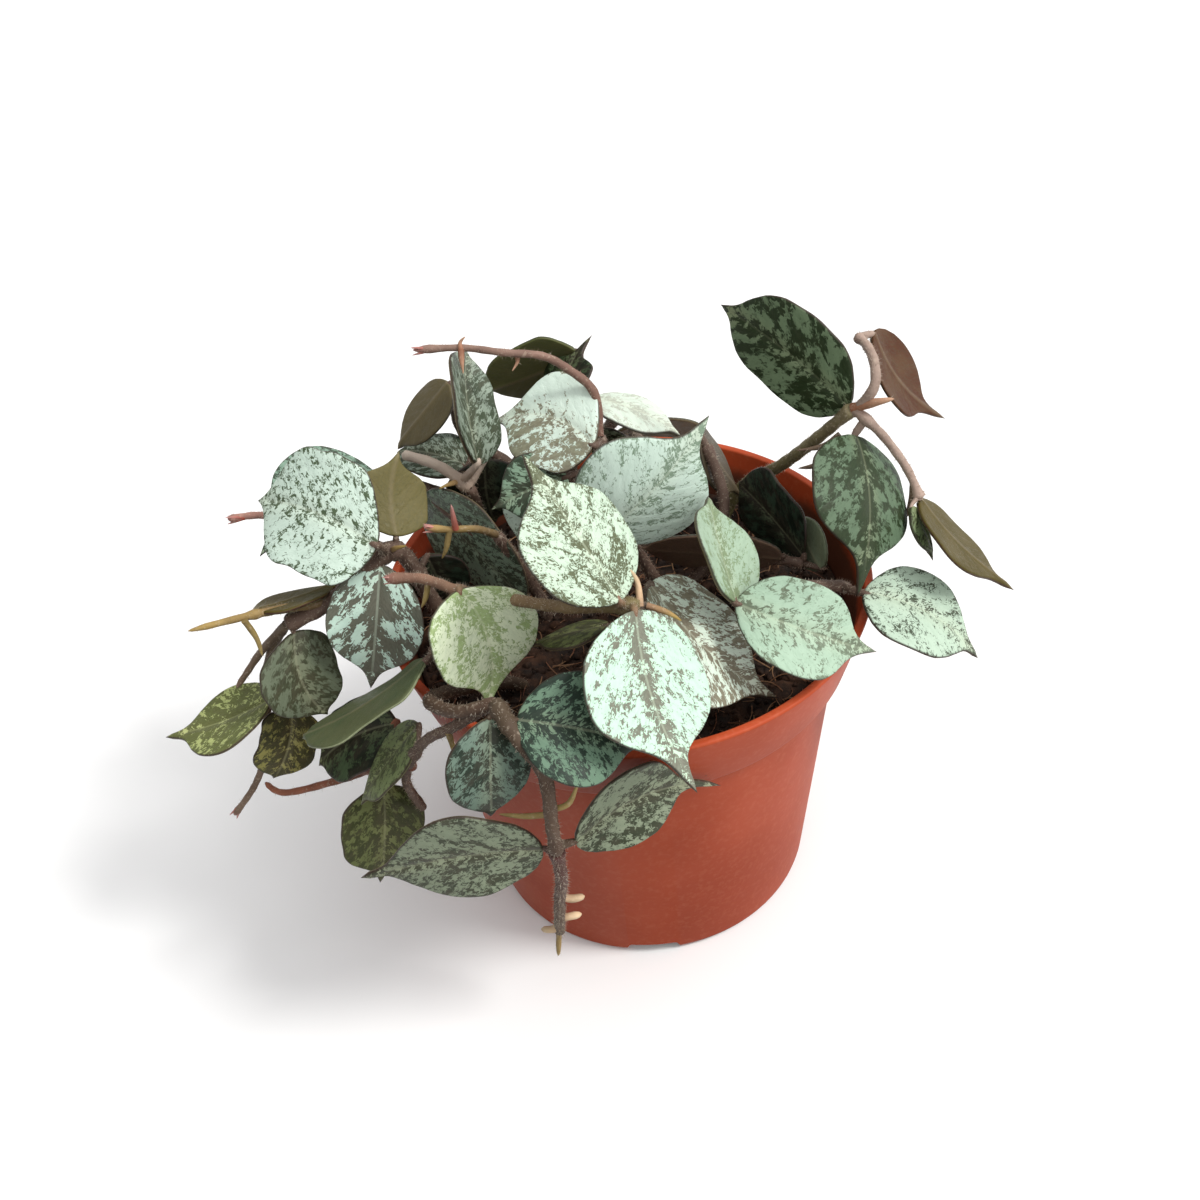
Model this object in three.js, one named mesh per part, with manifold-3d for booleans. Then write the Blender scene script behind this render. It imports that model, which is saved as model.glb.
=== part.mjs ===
// A potted silver Hoya curtisii: a climbing plant with small speckled leaves,
// in a tapered plastic nursery pot. Millimetres, +Z up, origin at the middle
// of the pot's underside, +X to the right and +Y away from the viewer.

import * as THREE from 'three';
import { mergeVertices } from 'three/addons/utils/BufferGeometryUtils.js';
import Module from 'manifold-3d';

const wasm = await Module();
wasm.setup();

// The pot, from its rim diameter of 85 mm
const POT_RIM_RADIUS = 42.5;
const POT_HEIGHT = 66.7;
const LIP_FOOT = 65.9;
const LIP_BEAD = 0.3;
const LIP_BEVEL = 0.4;
const SHOULDER_TOP = 53.9;
const SHOULDER_BOTTOM = 52.3;
const BAND_FOOT_RADIUS = 38.9;
const BODY_TOP_RADIUS = 36.6;
const BASE_RADIUS = 30.6;
const BASE_BEVEL = 1.6;
const WALL = 1.3;
const INSIDE_RISE = 0.2;
const FLOOR_THICKNESS = 1.6;
const POT_SEGMENTS = 42;

// The drain notches in the foot of the pot
const NOTCH_COUNT = 4;
const NOTCH_WIDTH_FOOT = 10.6;
const NOTCH_WIDTH_TOP = 8.6;
const NOTCH_HEIGHT = 2.4;
const NOTCH_INNER_RADIUS = 24.5;
const NOTCH_OUTER_RADIUS = 34;
const NOTCH_START_DEG = -94;
const NOTCH_OVERRUN = 1;

// The soil
const SOIL_CLEARANCE = 0.35;
const SOIL_TOP = 57;
const SOIL_WAVES = [
  { height: 0.7, alongX: 0.16, alongY: 0.13, start: 0.6 },
  { height: 0.5, alongX: 0.47, alongY: -0.39, start: 0 },
];
const SOIL_RINGS = 6;
const SOIL_SEGMENTS = 28;
const TOP_TOLERANCE = 0.01;
const HOLE_CLEARANCE = 0.55;
const HOLE_SIDES = 8;
const HOLE_POINTS = 4;

// The leaves: a round blade with a drip tip
const BLADE_THICKNESS = 1.1;
const BLADE_EDGE_THICKNESS = 0.64;
const BLADE_ROWS = [0.05, 0.16, 0.34, 0.54, 0.7, 0.82, 0.91];
const BLADE_COLUMNS = [-1, 0, 1];
const STALK_WIDTH = 1.6;
const STALK_THICKNESS = 1.5;
const DRIP_TIP_SHARE = 0.2;
const BLADE_OUTLINE = [
  [0, 0], [0.012, 0.2], [0.05, 0.44], [0.12, 0.7], [0.22, 0.9], [0.36, 1], [0.5, 0.98],
  [0.62, 0.86], [0.72, 0.62], [0.79, 0.36], [0.84, 0.19], [0.89, 0.11], [0.95, 0.055], [1, 0],
];

// Where a full blade is wider than a plain one: towards its tip and at its base
const FULL_START = 0.5;
const FULL_END = 0.96;
const FULL_BASE = 0.36;
const FULL_BASE_SHARE = 0.4;

// The stems
const STEM_SIDES = 5;
const STEM_STEP = 7;
const STEM_SAMPLES = 24;
const ROOTLET_RADIUS = 0.55;
const ROOTLET_SIDES = 3;
const ROOTLET_STEP = 5;

// Corners closer than this are one corner
const MERGE_DISTANCE = 1e-4;

const COLOURS = {
  terracotta: 0xb25a3e,
  soil: 0x2c211b,
  silver: 0xb4cfc0,
  mint: 0x9dbfae,
  olive: 0x6f7a4c,
  dark: 0x56665a,
  grey: 0x86998c,
};
const ROUGHNESS = { pot: 0.5, soil: 0.95, plant: 0.6 };

// A leaf blade: where it starts and ends, its width, the compass direction and
// height in degrees that its upper face looks to, how far it arches, cups and
// bends sideways as shares of its size, the share that is its drip tip, and how
// much fuller its outline is than a plain one.
function leaf(base, tip, width, azimuth, elevation, arch = 0.05, cup = 0, sway = 0,
  dripTip = DRIP_TIP_SHARE, fullness = 0) {
  return { base, tip, width, azimuth, elevation, arch, cup, sway, dripTip, fullness };
}

// A stem, a side shoot or a tendril: a tube of one radius on a smooth curve.
function stem(radius, ...points) {
  return { radius, points };
}

// Each leafy stem, from the front right round to the back. Its first stem
// starts upright in the soil, and the others branch off.
const SHOOTS = [
  {
    name: 'shoot_right_top',
    colour: COLOURS.dark,
    stems: [
      stem(1.2, [20, 24, 48], [20, 24, 57], [24, 23, 66], [30, 16, 75], [35, 9, 85], [40, 5, 93]),
      stem(0.9, [40, 5, 92], [43, 4, 97], [44, 8, 99], [44, 14, 99], [43, 17, 99]),
      stem(0.8, [40, 5, 93], [44, 1, 90], [48, -1, 84], [50, -3, 79]),
      stem(0.9, [40, 5, 93], [43, 3, 95], [46, 2, 96]),
    ],
    rootlets: [
      [[38, 5, 88], [35, 5, 86], [31, 6, 85]],
      [[37, 4, 87], [34, 3, 84], [31, 5, 82]],
      [[49, -2, 81], [48, -3, 76], [44, -4, 75]],
    ],
    leaves: [
      leaf([40, 7, 92], [21, 24, 104], 18, -130, 5, 0.08, 0, 0.1, 0.15, 0.15),
      leaf([40, 3, 89], [36.5, -18, 72], 22, -55, 20, 0.14, -0.15, 0.04, 0.25),
      leaf([46, 19, 98], [59, 16, 81], 15, 154, -44, 0.06, -0.16, -0.1, 0.28),
      leaf([50, -2, 78], [64, -14, 66], 16, 180, -45, 0.02, -0.04, -0.13, 0.23),
      leaf([48, -5, 79], [51, -10, 71], 7, -20, 20, 0.04, -0.1),
    ],
  },
  {
    name: 'shoot_right_front',
    colour: COLOURS.mint,
    stems: [
      stem(1.2, [23, -12, 48], [23, -12, 58], [20, -17, 68], [18, -20, 76]),
      stem(1.0, [18, -20, 76], [22, -19, 76], [30, -15, 73], [37, -11, 68]),
    ],
    rootlets: [
      [[24, -19, 76], [25, -16, 72], [27, -15, 69]],
    ],
    leaves: [
      leaf([38, -16, 71], [56, -23, 60], 18, -30, 60, 0.09, 0, -0.05, 0.18),
      leaf([16, -24, 79], [38, -27, 68], 15, -65, 45, 0.17, 0.15, 0.07, 0.25, 0.08),
      leaf([16, -24, 79], [14, -9, 89], 18, -10, 34, 0.07, 0.22, -0.2, 0.17),
    ],
  },
  {
    name: 'shoot_front',
    colour: COLOURS.silver,
    stems: [
      stem(1.3, [3, -14, 48], [3, -14, 58], [2, -21, 72], [1, -29, 85]),
      stem(1.1, [1, -29, 85], [-5, -28, 85], [-11, -26, 84], [-20, -20, 82], [-26, -21, 85], [-32, -18, 86],
        [-38, -17, 86]),
    ],
    rootlets: [
      [[1, -29, 85], [1, -27, 88], [0, -26, 90]],
      [[2, -29, 85], [5, -30, 84], [7, -30, 82]],
      [[-31, -18, 86], [-32, -19, 83], [-33, -19, 81]],
    ],
    leaves: [
      leaf([-2, -31, 88], [-14, -16, 106], 22, -29, 45, 0.06, -0.04, -0.06, 0.25),
      leaf([-26, -24, 88], [-25, -30, 67], 19, -54, 20, 0.02, 0, -0.13, 0.25, 0.1),
      leaf([0, -32, 87], [6, -54, 70], 24, -30, 45, -0.05, 0, 0.05, 0.25),
      leaf([3, -18, 79.5], [22, -27.5, 60.5], 23, -18, 48, 0.07, 0.04, 0.19, 0.23),
      leaf([-4, -24, 77], [-17, -22, 73], 12, 115, 60, 0.02, -0.05),
    ],
  },
  {
    name: 'shoot_hanging_front',
    colour: COLOURS.grey,
    stems: [
      stem(1.2, [-20, -15, 48], [-20, -15, 58], [-30, -24, 67], [-33, -31, 72], [-28, -38, 76],
        [-22, -40, 79]),
      stem(1.2, [-22, -40, 79], [-19, -46, 77], [-16, -47, 70], [-16, -48, 59], [-16, -47, 52]),
      stem(1.1, [-16, -47, 52], [-16, -46, 44], [-17, -44, 36], [-18, -43, 26]),
      stem(0.7, [-17, -44, 36], [-18, -43, 27], [-19, -42, 18]),
      stem(0.9, [-22, -40, 79], [-29, -38, 73], [-35, -34, 66], [-40, -29, 53], [-39, -26, 42]),
      stem(0.9, [-38, -31, 58], [-46, -24, 51], [-53, -20, 45], [-64, -17, 40], [-68, -14, 40]),
    ],
    rootlets: [
      [[-17, -44, 37], [-15, -44, 36], [-13, -43, 35]],
      [[-17, -43, 30], [-16, -43, 30], [-14, -42, 29]],
      [[-18, -43, 28], [-19, -43, 27], [-21, -42, 26]],
      [[-16, -47, 61], [-20, -46, 60], [-24, -45, 60]],
      [[-16, -47, 62], [-13, -47, 63], [-11, -46, 67]],
      [[-16, -47, 71], [-12, -47, 68], [-11, -46, 69]],
      [[-30, -38, 72], [-30, -37, 68], [-29, -39, 63]],
    ],
    leaves: [
      leaf([-19, -44, 79], [0, -43, 69], 17, -55, 45, 0.13, 0.1, 0, 0.22),
      leaf([-23, -42, 78], [-25, -47, 62], 14, -65, 10, 0.15, 0, 0.07, 0.14),
      leaf([-13, -47, 54], [11, -39, 54], 17, -80, 0, 0.03, 0.18, -0.23, 0.3, -0.1),
      leaf([-18, -46, 52], [-47, -47, 51], 21, -90, -5, 0.04, 0.07, 0.12, 0.19, -0.12),
      leaf([-36, -28, 64], [-48, -31, 50], 11, -175, 41, 0.02, 0, 0, 0.16, 0.1),
      leaf([-41, -20, 57], [-56, -20, 49], 14, -135, 60, 0.08, 0, 0.05, 0.12, 0.2),
      leaf([-45, -25, 48], [-48, -33, 32], 16, -50, 25, 0.05, 0, 0, 0.2, 0.15),
    ],
  },
  {
    name: 'shoot_low_left',
    colour: COLOURS.olive,
    stems: [
      stem(1.4, [-24, -11, 48], [-24, -11, 58], [-28, -15, 68], [-32, -22, 74]),
    ],
    rootlets: [
      [[-30, -18, 71], [-31, -19, 67], [-31, -21, 64]],
    ],
    leaves: [
      leaf([-33, -26, 76], [-54, -31, 67], 14, -34, -55, 0.05, 0.05, 0.02, 0.06, 0.35),
    ],
  },
  {
    name: 'shoot_left',
    colour: COLOURS.silver,
    stems: [
      stem(1.5, [-31, -4, 48], [-31, -4, 58], [-34, -4, 72], [-38, -5, 82], [-49, -9, 76], [-57, -10, 73]),
      stem(0.8, [-57, -10, 73], [-63, -8, 66], [-67, -8, 61], [-69, -9, 59]),
      stem(0.8, [-57, -10, 73], [-63, -7, 62], [-67, -9, 45], [-71, -10, 36], [-77, -10, 28]),
      stem(0.8, [-38, -5, 82], [-50, 3, 83], [-60, 6, 84], [-66, 6, 84]),
      stem(0.9, [-50, -9, 76], [-57, -12, 78], [-62, -14, 79], [-71, -16, 79]),
    ],
    rootlets: [
      [[-62, -15, 79], [-61, -15, 75], [-61, -15, 71]],
      [[-38, -5, 82], [-37, -7, 84], [-35, -8, 85]],
    ],
    leaves: [
      leaf([-39, -11, 88], [-59, 2, 90], 20, -120, 40, 0.1, 0.05, 0.08, 0.16, 0.25),
      leaf([-37, -4, 84], [-35, 6, 94], 13, 125, -45, 0.05, 0, 0.08, 0.22, 0.12),
      leaf([-40, -7, 81], [-45, -15, 61], 16, -95, 25, 0.14, 0.2, -0.03, 0.22, 0.03),
      leaf([-56, -11, 72], [-53, -16, 57], 14, -55, 25, 0.08, 0.04, 0.15, 0.12, 0.15),
      leaf([-62, -14, 60], [-82, -14, 54], 17, 160, 75, -0.03, 0.06, -0.04, 0.23),
      leaf([-60, -12, 56], [-65, -18, 45], 11, -60, 10, 0.06, 0, -0.06, 0.1, 0.3),
      leaf([-61, -12, 78], [-47, -4, 76], 12, -75, -65, 0.03, -0.05),
      leaf([-33, -1, 77], [-31, 2, 64], 11, -90, 20, 0.05, 0, 0, 0.15, 0.1),
    ],
  },
  {
    name: 'shoot_middle',
    colour: COLOURS.dark,
    stems: [
      stem(1.2, [-15, 4, 48], [-15, 4, 58], [-18, 2, 70], [-21, 0, 79]),
      stem(0.7, [-21, 0, 79], [-24, -3, 83], [-28, -5, 85], [-32, -5, 86]),
      stem(0.9, [-16, 3, 66], [-21, 4, 72], [-28, 8, 77], [-33, 14, 79]),
    ],
    rootlets: [
      [[-28, -5, 85], [-29, -6, 82], [-30, -6, 80]],
      [[-27, -5, 85], [-27, -5, 88], [-27, -5, 90]],
    ],
    leaves: [
      leaf([-33, 13, 80], [-17, 1, 62], 22, -130, -5, 0.03, 0.03, -0.02, 0.1),
    ],
  },
  {
    name: 'shoot_top',
    colour: COLOURS.mint,
    stems: [
      stem(1.2, [-1, 6, 48], [-1, 6, 58], [-2, 8, 76], [-2, 8, 91]),
      stem(0.8, [-2, 8, 91], [-2, 12, 97], [-6, 14, 101], [-10, 14, 104], [-16, 13, 106], [-23, 16, 106],
        [-31, 17, 106]),
    ],
    rootlets: [
      [[-14, 14, 105], [-14, 13, 104], [-15, 12, 103]],
      [[-23, 15, 106], [-23, 13, 105], [-23, 12, 103.5]],
      [[-23, 15, 106], [-23, 16, 107], [-22, 16, 108]],
    ],
    leaves: [
      leaf([-3, 4, 92], [-20, 17, 90], 18, -136, 57, 0.03, 0, 0.14, 0.21, 0.12),
      leaf([-8, 6, 85], [-21.5, 3, 82], 12, -100, 20, 0.04, 0, 0.05),
      leaf([-11, 10, 83], [-18, 3, 72], 12, -110, 35, 0.04),
    ],
  },
  {
    name: 'shoot_centre',
    colour: COLOURS.olive,
    stems: [
      stem(1.2, [8, 0, 48], [8, 0, 58], [4, -3, 70], [0, -6, 82]),
      stem(1.1, [8, 0, 60], [15, 5, 64], [19, 12, 71], [17, 19, 79]),
      stem(0.9, [15, 5, 64], [23, 1, 67], [31, -1, 66]),
    ],
    rootlets: [],
    leaves: [
      leaf([-4, -11, 85], [15, -7, 103], 23, -80, 0, 0.08, -0.15, 0, 0.24),
      leaf([31, -1, 68], [22, 14, 74], 15, -150, 5, 0.05, 0, 0.1, 0.1, 0.3),
      leaf([34, -3, 66], [31, 7, 72], 10, 25, -10, 0, -0.06, 0.05, 0.19),
      leaf([16, 22, 80], [23, 20, 66], 13, 170, -25, 0.04, 0.04, 0, 0.17),
      leaf([27, -2, 69], [3, 1, 72], 18, 80, 30, 0.03, -0.05, 0.06, 0.08),
    ],
  },
  {
    name: 'shoot_back_left',
    colour: COLOURS.grey,
    stems: [
      stem(1.2, [-22, 16, 48], [-22, 16, 58], [-24, 13, 72], [-25, 10, 82]),
      stem(1.0, [-25, 10, 82], [-30, 12, 86], [-36, 15, 87]),
      stem(0.9, [-24, 13, 74], [-32, 20, 75], [-41, 23, 77]),
    ],
    rootlets: [
      [[-26, 11, 83], [-28, 9, 84], [-30, 8, 84]],
    ],
    leaves: [
      leaf([-23, 8, 88], [-23, 25, 100], 16, -15, 17, 0.08, 0.25, -0.26, 0.11, 0.1),
      leaf([-42, 23, 77], [-65, 14, 69], 20, -110, 40, 0.04, 0, 0.1, 0.23),
      leaf([-22, 15, 84], [-22, 15, 70], 14, -90, 20, 0.04, 0, 0.05, 0.15),
    ],
  },
  {
    name: 'shoot_back',
    colour: COLOURS.olive,
    stems: [
      stem(1.2, [-10, 24, 48], [-10, 24, 58], [-18, 28, 72], [-26, 29, 80], [-27, 29, 90]),
      stem(1.1, [-10, 24, 60], [-7, 29, 72], [-5, 30, 84], [-4, 33, 90]),
    ],
    rootlets: [],
    leaves: [
      leaf([-27, 28, 92], [-38, 24, 82], 14, 15, -50, 0, 0, 0, 0.14),
      leaf([-4, 34, 92], [-22, 36, 85], 18, 90, 25, 0.04, 0, 0.1, 0.1, 0.1),
      leaf([-8, 25, 88], [-1, 34, 95], 11, -155, 55, 0.02, 0.03, -0.07, 0.36),
      leaf([-26, 22, 78], [-39, 29, 78], 12, -90, 85, 0.08, 0.04, 0, 0.09),
      leaf([-3, 32, 76], [3, 36, 70], 8, -85, -30, 0.15, 0.05),
      leaf([-2, 30, 84], [13, 24, 78], 14, 10, 65, 0.06, -0.05, 0, 0.16),
    ],
  },
  {
    name: 'shoot_rear',
    colour: COLOURS.mint,
    stems: [
      stem(1.3, [8, 24, 48], [8, 24, 58], [6, 34, 68], [4, 42, 71], [0, 47, 65], [-4, 46, 52], [-9, 42, 36],
        ),
    ],
    rootlets: [
      [[-2, 47, 58], [-1, 49, 55], [1, 49, 52]],
      [[-5, 45, 48], [-8, 46, 46], [-9, 46, 43]],
    ],
    leaves: [
      leaf([2, 48, 64], [22, 51, 52], 20, 70, 25, 0.06, 0, 0.05),
      leaf([-3, 48, 60], [-22, 52, 50], 19, 110, 25, 0.06, 0, -0.05),
      leaf([-4, 47, 48], [15, 47, 34], 20, 80, 15, 0.08, 0, 0, 0.24),
      leaf([-8, 45, 44], [-29, 41, 33], 20, 115, 15, 0.07),
      leaf([-9, 43, 35], [-7, 45, 11], 20, 95, 10, 0.06, 0, 0.06, 0.22),
    ],
  },
];

// A smooth curve through points, one cubic piece between each two of them.
class SmoothCurve extends THREE.Curve {
  constructor(points) {
    super();
    this.points = points.map((point) => new THREE.Vector3(...point));
  }

  getPoint(share, target = new THREE.Vector3()) {
    const last = this.points.length - 1;
    const place = Math.min(Math.max(share, 0), 1) * last;
    const index = Math.min(Math.floor(place), last - 1);
    const t = place - index;
    const before = this.points[Math.max(index - 1, 0)];
    const start = this.points[index];
    const end = this.points[index + 1];
    const after = this.points[Math.min(index + 2, last)];
    for (const axis of ['x', 'y', 'z']) {
      target[axis] = smoothStep(before[axis], start[axis], end[axis], after[axis], t);
    }
    return target;
  }
}

// The cubic between two values that also heads for their neighbours.
function smoothStep(before, start, end, after, t) {
  return 0.5 * (2 * start + (end - before) * t
    + (2 * before - 5 * start + 4 * end - after) * t * t
    + (3 * start - before - 3 * end + after) * t * t * t);
}

// Half of the blade's width at a share of its length, as a share of the most.
function outlineShare(share, fullness) {
  const last = BLADE_OUTLINE.length - 1;
  let index = 0;
  while (index < last - 1 && BLADE_OUTLINE[index + 1][0] < share) {
    index += 1;
  }
  const before = BLADE_OUTLINE[Math.max(index - 1, 0)];
  const start = BLADE_OUTLINE[index];
  const end = BLADE_OUTLINE[index + 1];
  const after = BLADE_OUTLINE[Math.min(index + 2, last)];
  const t = (share - start[0]) / (end[0] - start[0]);
  const plain = smoothStep(before[1], start[1], end[1], after[1], t);
  return Math.max(plain + fullness * bulge(share), 0);
}

// How much of the fullness a share of the blade's length takes up.
function bulge(share) {
  const tip = THREE.MathUtils.clamp((share - FULL_START) / (FULL_END - FULL_START), 0, 1);
  const base = Math.min(share / FULL_BASE, 1);
  return Math.sin(Math.PI * tip) ** 2 + FULL_BASE_SHARE * Math.sin(Math.PI * base) ** 2;
}

// Stretches or shortens the drip tip to its own share of the length.
function placeAlong(share, dripTip) {
  const tipStart = 1 - DRIP_TIP_SHARE;
  if (share <= 0.5) {
    return share;
  }
  if (share <= tipStart) {
    return 0.5 + (share - 0.5) * (0.5 - dripTip) / (tipStart - 0.5);
  }
  return 1 - dripTip * (1 - share) / DRIP_TIP_SHARE;
}

// The unit vector that a compass direction and a height in degrees point to.
function direction(azimuth, elevation) {
  const turn = THREE.MathUtils.degToRad(azimuth);
  const rise = THREE.MathUtils.degToRad(elevation);
  return new THREE.Vector3(Math.cos(rise) * Math.cos(turn), Math.cos(rise) * Math.sin(turn), Math.sin(rise));
}

// The blade's own directions: along it, out of its upper face and to its side.
function bladeFrame(row) {
  const base = new THREE.Vector3(...row.base);
  const chord = new THREE.Vector3(...row.tip).sub(base);
  const length = chord.length();
  const along = chord.clone().normalize();
  const face = direction(row.azimuth, row.elevation);
  face.addScaledVector(along, -face.dot(along)).normalize();
  const side = new THREE.Vector3().crossVectors(along, face);
  return { base, length, along, face, side };
}

// A point of the blade's middle surface, at a share of its length and width.
function bladePoint(row, frame, share, across) {
  const half = row.width / 2;
  const reach = half * outlineShare(share, row.fullness) * across;
  const place = placeAlong(share, row.dripTip);
  const hump = 4 * place * (1 - place) * frame.length;
  return frame.base.clone()
    .addScaledVector(frame.along, place * frame.length)
    .addScaledVector(frame.face, row.arch * hump + row.cup * reach * reach / half)
    .addScaledVector(frame.side, row.sway * hump + reach);
}

// One row of a leaf: the middle and both sides, each a point on either face.
function bladeRow(row, frame, share) {
  return BLADE_COLUMNS.map((across) => {
    const middle = bladePoint(row, frame, share, across);
    const thickness = THREE.MathUtils.lerp(BLADE_THICKNESS, BLADE_EDGE_THICKNESS, Math.abs(across));
    return facePair(middle, frame.face, thickness);
  });
}

// A point on the upper face and one on the lower face.
function facePair(middle, normal, thickness) {
  const upper = middle.clone().addScaledVector(normal, thickness / 2);
  const lower = middle.clone().addScaledVector(normal, -thickness / 2);
  return [upper, lower];
}

// The two rows of a leaf's stalk: inside the stem, and where the blade begins.
function stalkRows(row, frame, start) {
  const bladeWay = frame.along.clone().addScaledVector(frame.face, 4 * row.arch).normalize();
  const stalkWay = frame.base.clone().sub(start).normalize();
  const joinWay = bladeWay.clone().add(stalkWay).normalize();
  return [[start, stalkWay], [frame.base, joinWay]].map(([middle, way]) => {
    const turn = new THREE.Quaternion().setFromUnitVectors(frame.along, way);
    const side = frame.side.clone().applyQuaternion(turn);
    const face = frame.face.clone().applyQuaternion(turn);
    return BLADE_COLUMNS.map((across) => {
      const place = middle.clone().addScaledVector(side, across * STALK_WIDTH / 2);
      return facePair(place, face, STALK_THICKNESS);
    });
  });
}

// A leaf as one closed body: its stalk from the stem, its blade and its tip.
function leafGeometry(row, start) {
  const frame = bladeFrame(row);
  const rows = [
    ...stalkRows(row, frame, start),
    ...BLADE_ROWS.map((share) => bladeRow(row, frame, share)),
  ];
  const columns = BLADE_COLUMNS.length;
  const tip = facePair(bladePoint(row, frame, 1, 0), frame.face, BLADE_EDGE_THICKNESS);
  const points = [...rows.flat(), tip].flat();
  const indices = [];
  const at = (r, c) => r * columns + c;
  const last = rows.length - 1;
  const end = rows.length * columns;
  const bothFaces = (a, b, c) => {
    indices.push(2 * a, 2 * b, 2 * c);
    indices.push(2 * a + 1, 2 * c + 1, 2 * b + 1);
  };
  const wall = (a, b) => {
    indices.push(2 * a, 2 * a + 1, 2 * b + 1);
    indices.push(2 * a, 2 * b + 1, 2 * b);
  };
  for (let c = 0; c < columns - 1; c += 1) {
    for (let r = 0; r < last; r += 1) {
      bothFaces(at(r, c), at(r + 1, c), at(r + 1, c + 1));
      bothFaces(at(r, c), at(r + 1, c + 1), at(r, c + 1));
    }
    bothFaces(at(last, c), end, at(last, c + 1));
    wall(at(0, c + 1), at(0, c));
  }
  for (let r = 0; r < last; r += 1) {
    wall(at(r, 0), at(r + 1, 0));
    wall(at(r + 1, columns - 1), at(r, columns - 1));
  }
  wall(at(last, 0), end);
  wall(end, at(last, columns - 1));
  const geometry = new THREE.BufferGeometry().setFromPoints(points);
  geometry.setIndex(indices);
  return geometry;
}

// A regular polygon as an outline to extrude.
function polygon(radius, sides) {
  const shape = new THREE.Shape();
  for (let i = 0; i < sides; i += 1) {
    const turn = 2 * Math.PI * i / sides;
    shape[i === 0 ? 'moveTo' : 'lineTo'](radius * Math.cos(turn), radius * Math.sin(turn));
  }
  shape.closePath();
  return shape;
}

// A tube of one radius along a smooth curve, closed at both ends.
function tubeGeometry(points, radius, sides, step) {
  const path = new SmoothCurve(points);
  const steps = Math.max(2, Math.round(path.getLength() / step));
  return new THREE.ExtrudeGeometry(polygon(radius, sides), {
    steps,
    curveSegments: sides,
    bevelEnabled: false,
    extrudePath: path,
  });
}

// Turns a closed geometry into a solid that can be joined and cut.
function toSolid(geometry) {
  const bare = geometry.clone();
  bare.deleteAttribute('normal');
  bare.deleteAttribute('uv');
  const merged = mergeVertices(bare, MERGE_DISTANCE);
  const corners = new Uint32Array(merged.index.array);
  if (signedVolume(merged.attributes.position, corners) < 0) {
    corners.reverse();
  }
  const mesh = new wasm.Mesh({
    numProp: 3,
    vertProperties: new Float32Array(merged.attributes.position.array),
    triVerts: corners,
  });
  return new wasm.Manifold(mesh);
}

// Six times the volume inside a closed mesh: less than zero if it is inside out.
function signedVolume(position, corners) {
  let total = 0;
  const [a, b, c] = [new THREE.Vector3(), new THREE.Vector3(), new THREE.Vector3()];
  for (let i = 0; i < corners.length; i += 3) {
    a.fromBufferAttribute(position, corners[i]);
    b.fromBufferAttribute(position, corners[i + 1]);
    c.fromBufferAttribute(position, corners[i + 2]);
    total += a.dot(b.cross(c));
  }
  return total;
}

// Turns a solid back into a geometry.
function toGeometry(solid) {
  const mesh = solid.getMesh();
  const geometry = new THREE.BufferGeometry();
  geometry.setAttribute('position', new THREE.Float32BufferAttribute(mesh.vertProperties, 3));
  geometry.setIndex(new THREE.Uint32BufferAttribute(mesh.triVerts, 1));
  return geometry;
}

// Joins solids into one.
function fuse(solids) {
  return solids.reduce((whole, solid) => whole.add(solid));
}

// Keeps the outer skin of a joined body, so that no hollow is sealed inside it.
function outerSkin(geometry) {
  const corners = Array.from(geometry.index.array);
  const group = Array.from({ length: geometry.attributes.position.count }, (_, i) => i);
  const find = (i) => {
    while (group[i] !== i) {
      group[i] = group[group[i]];
      i = group[i];
    }
    return i;
  };
  for (let i = 0; i < corners.length; i += 3) {
    group[find(corners[i])] = find(corners[i + 1]);
    group[find(corners[i + 1])] = find(corners[i + 2]);
  }
  const skins = new Map();
  corners.forEach((corner) => {
    const key = find(corner);
    skins.set(key, [...(skins.get(key) ?? []), corner]);
  });
  const largest = [...skins.values()].sort((a, b) => b.length - a.length)[0];
  geometry.setIndex(largest);
  return geometry;
}

// The point inside a shoot's stems, short of their ends, closest to a place.
function nearestOnStems(shoot, place) {
  const goal = new THREE.Vector3(...place);
  let best = null;
  for (const part of shoot.stems) {
    for (const point of new SmoothCurve(part.points).getPoints(STEM_SAMPLES).slice(1, -1)) {
      if (best === null || point.distanceTo(goal) < best.distanceTo(goal)) {
        best = point;
      }
    }
  }
  return best;
}

// One leafy stem as one body: its stems, rootlets and leaves.
function shootGeometry(shoot) {
  const solids = [];
  for (const part of shoot.stems) {
    solids.push(toSolid(tubeGeometry(part.points, part.radius, STEM_SIDES, STEM_STEP)));
  }
  for (const points of shoot.rootlets) {
    solids.push(toSolid(tubeGeometry(points, ROOTLET_RADIUS, ROOTLET_SIDES, ROOTLET_STEP)));
  }
  for (const row of shoot.leaves) {
    solids.push(toSolid(leafGeometry(row, nearestOnStems(shoot, row.base))));
  }
  return outerSkin(toGeometry(fuse(solids)));
}

// The pot's outer radius at a height on its body, under the shoulder.
function bodyRadius(height) {
  return THREE.MathUtils.lerp(BASE_RADIUS, BODY_TOP_RADIUS, height / SHOULDER_BOTTOM);
}

// The radius inside the band at a height between the shoulder and the lip.
function bandInside(height) {
  const low = SHOULDER_TOP + INSIDE_RISE;
  const share = (height - low) / (LIP_FOOT - low);
  return THREE.MathUtils.lerp(BAND_FOOT_RADIUS, POT_RIM_RADIUS - LIP_BEAD - LIP_BEVEL, share) - WALL;
}

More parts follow.
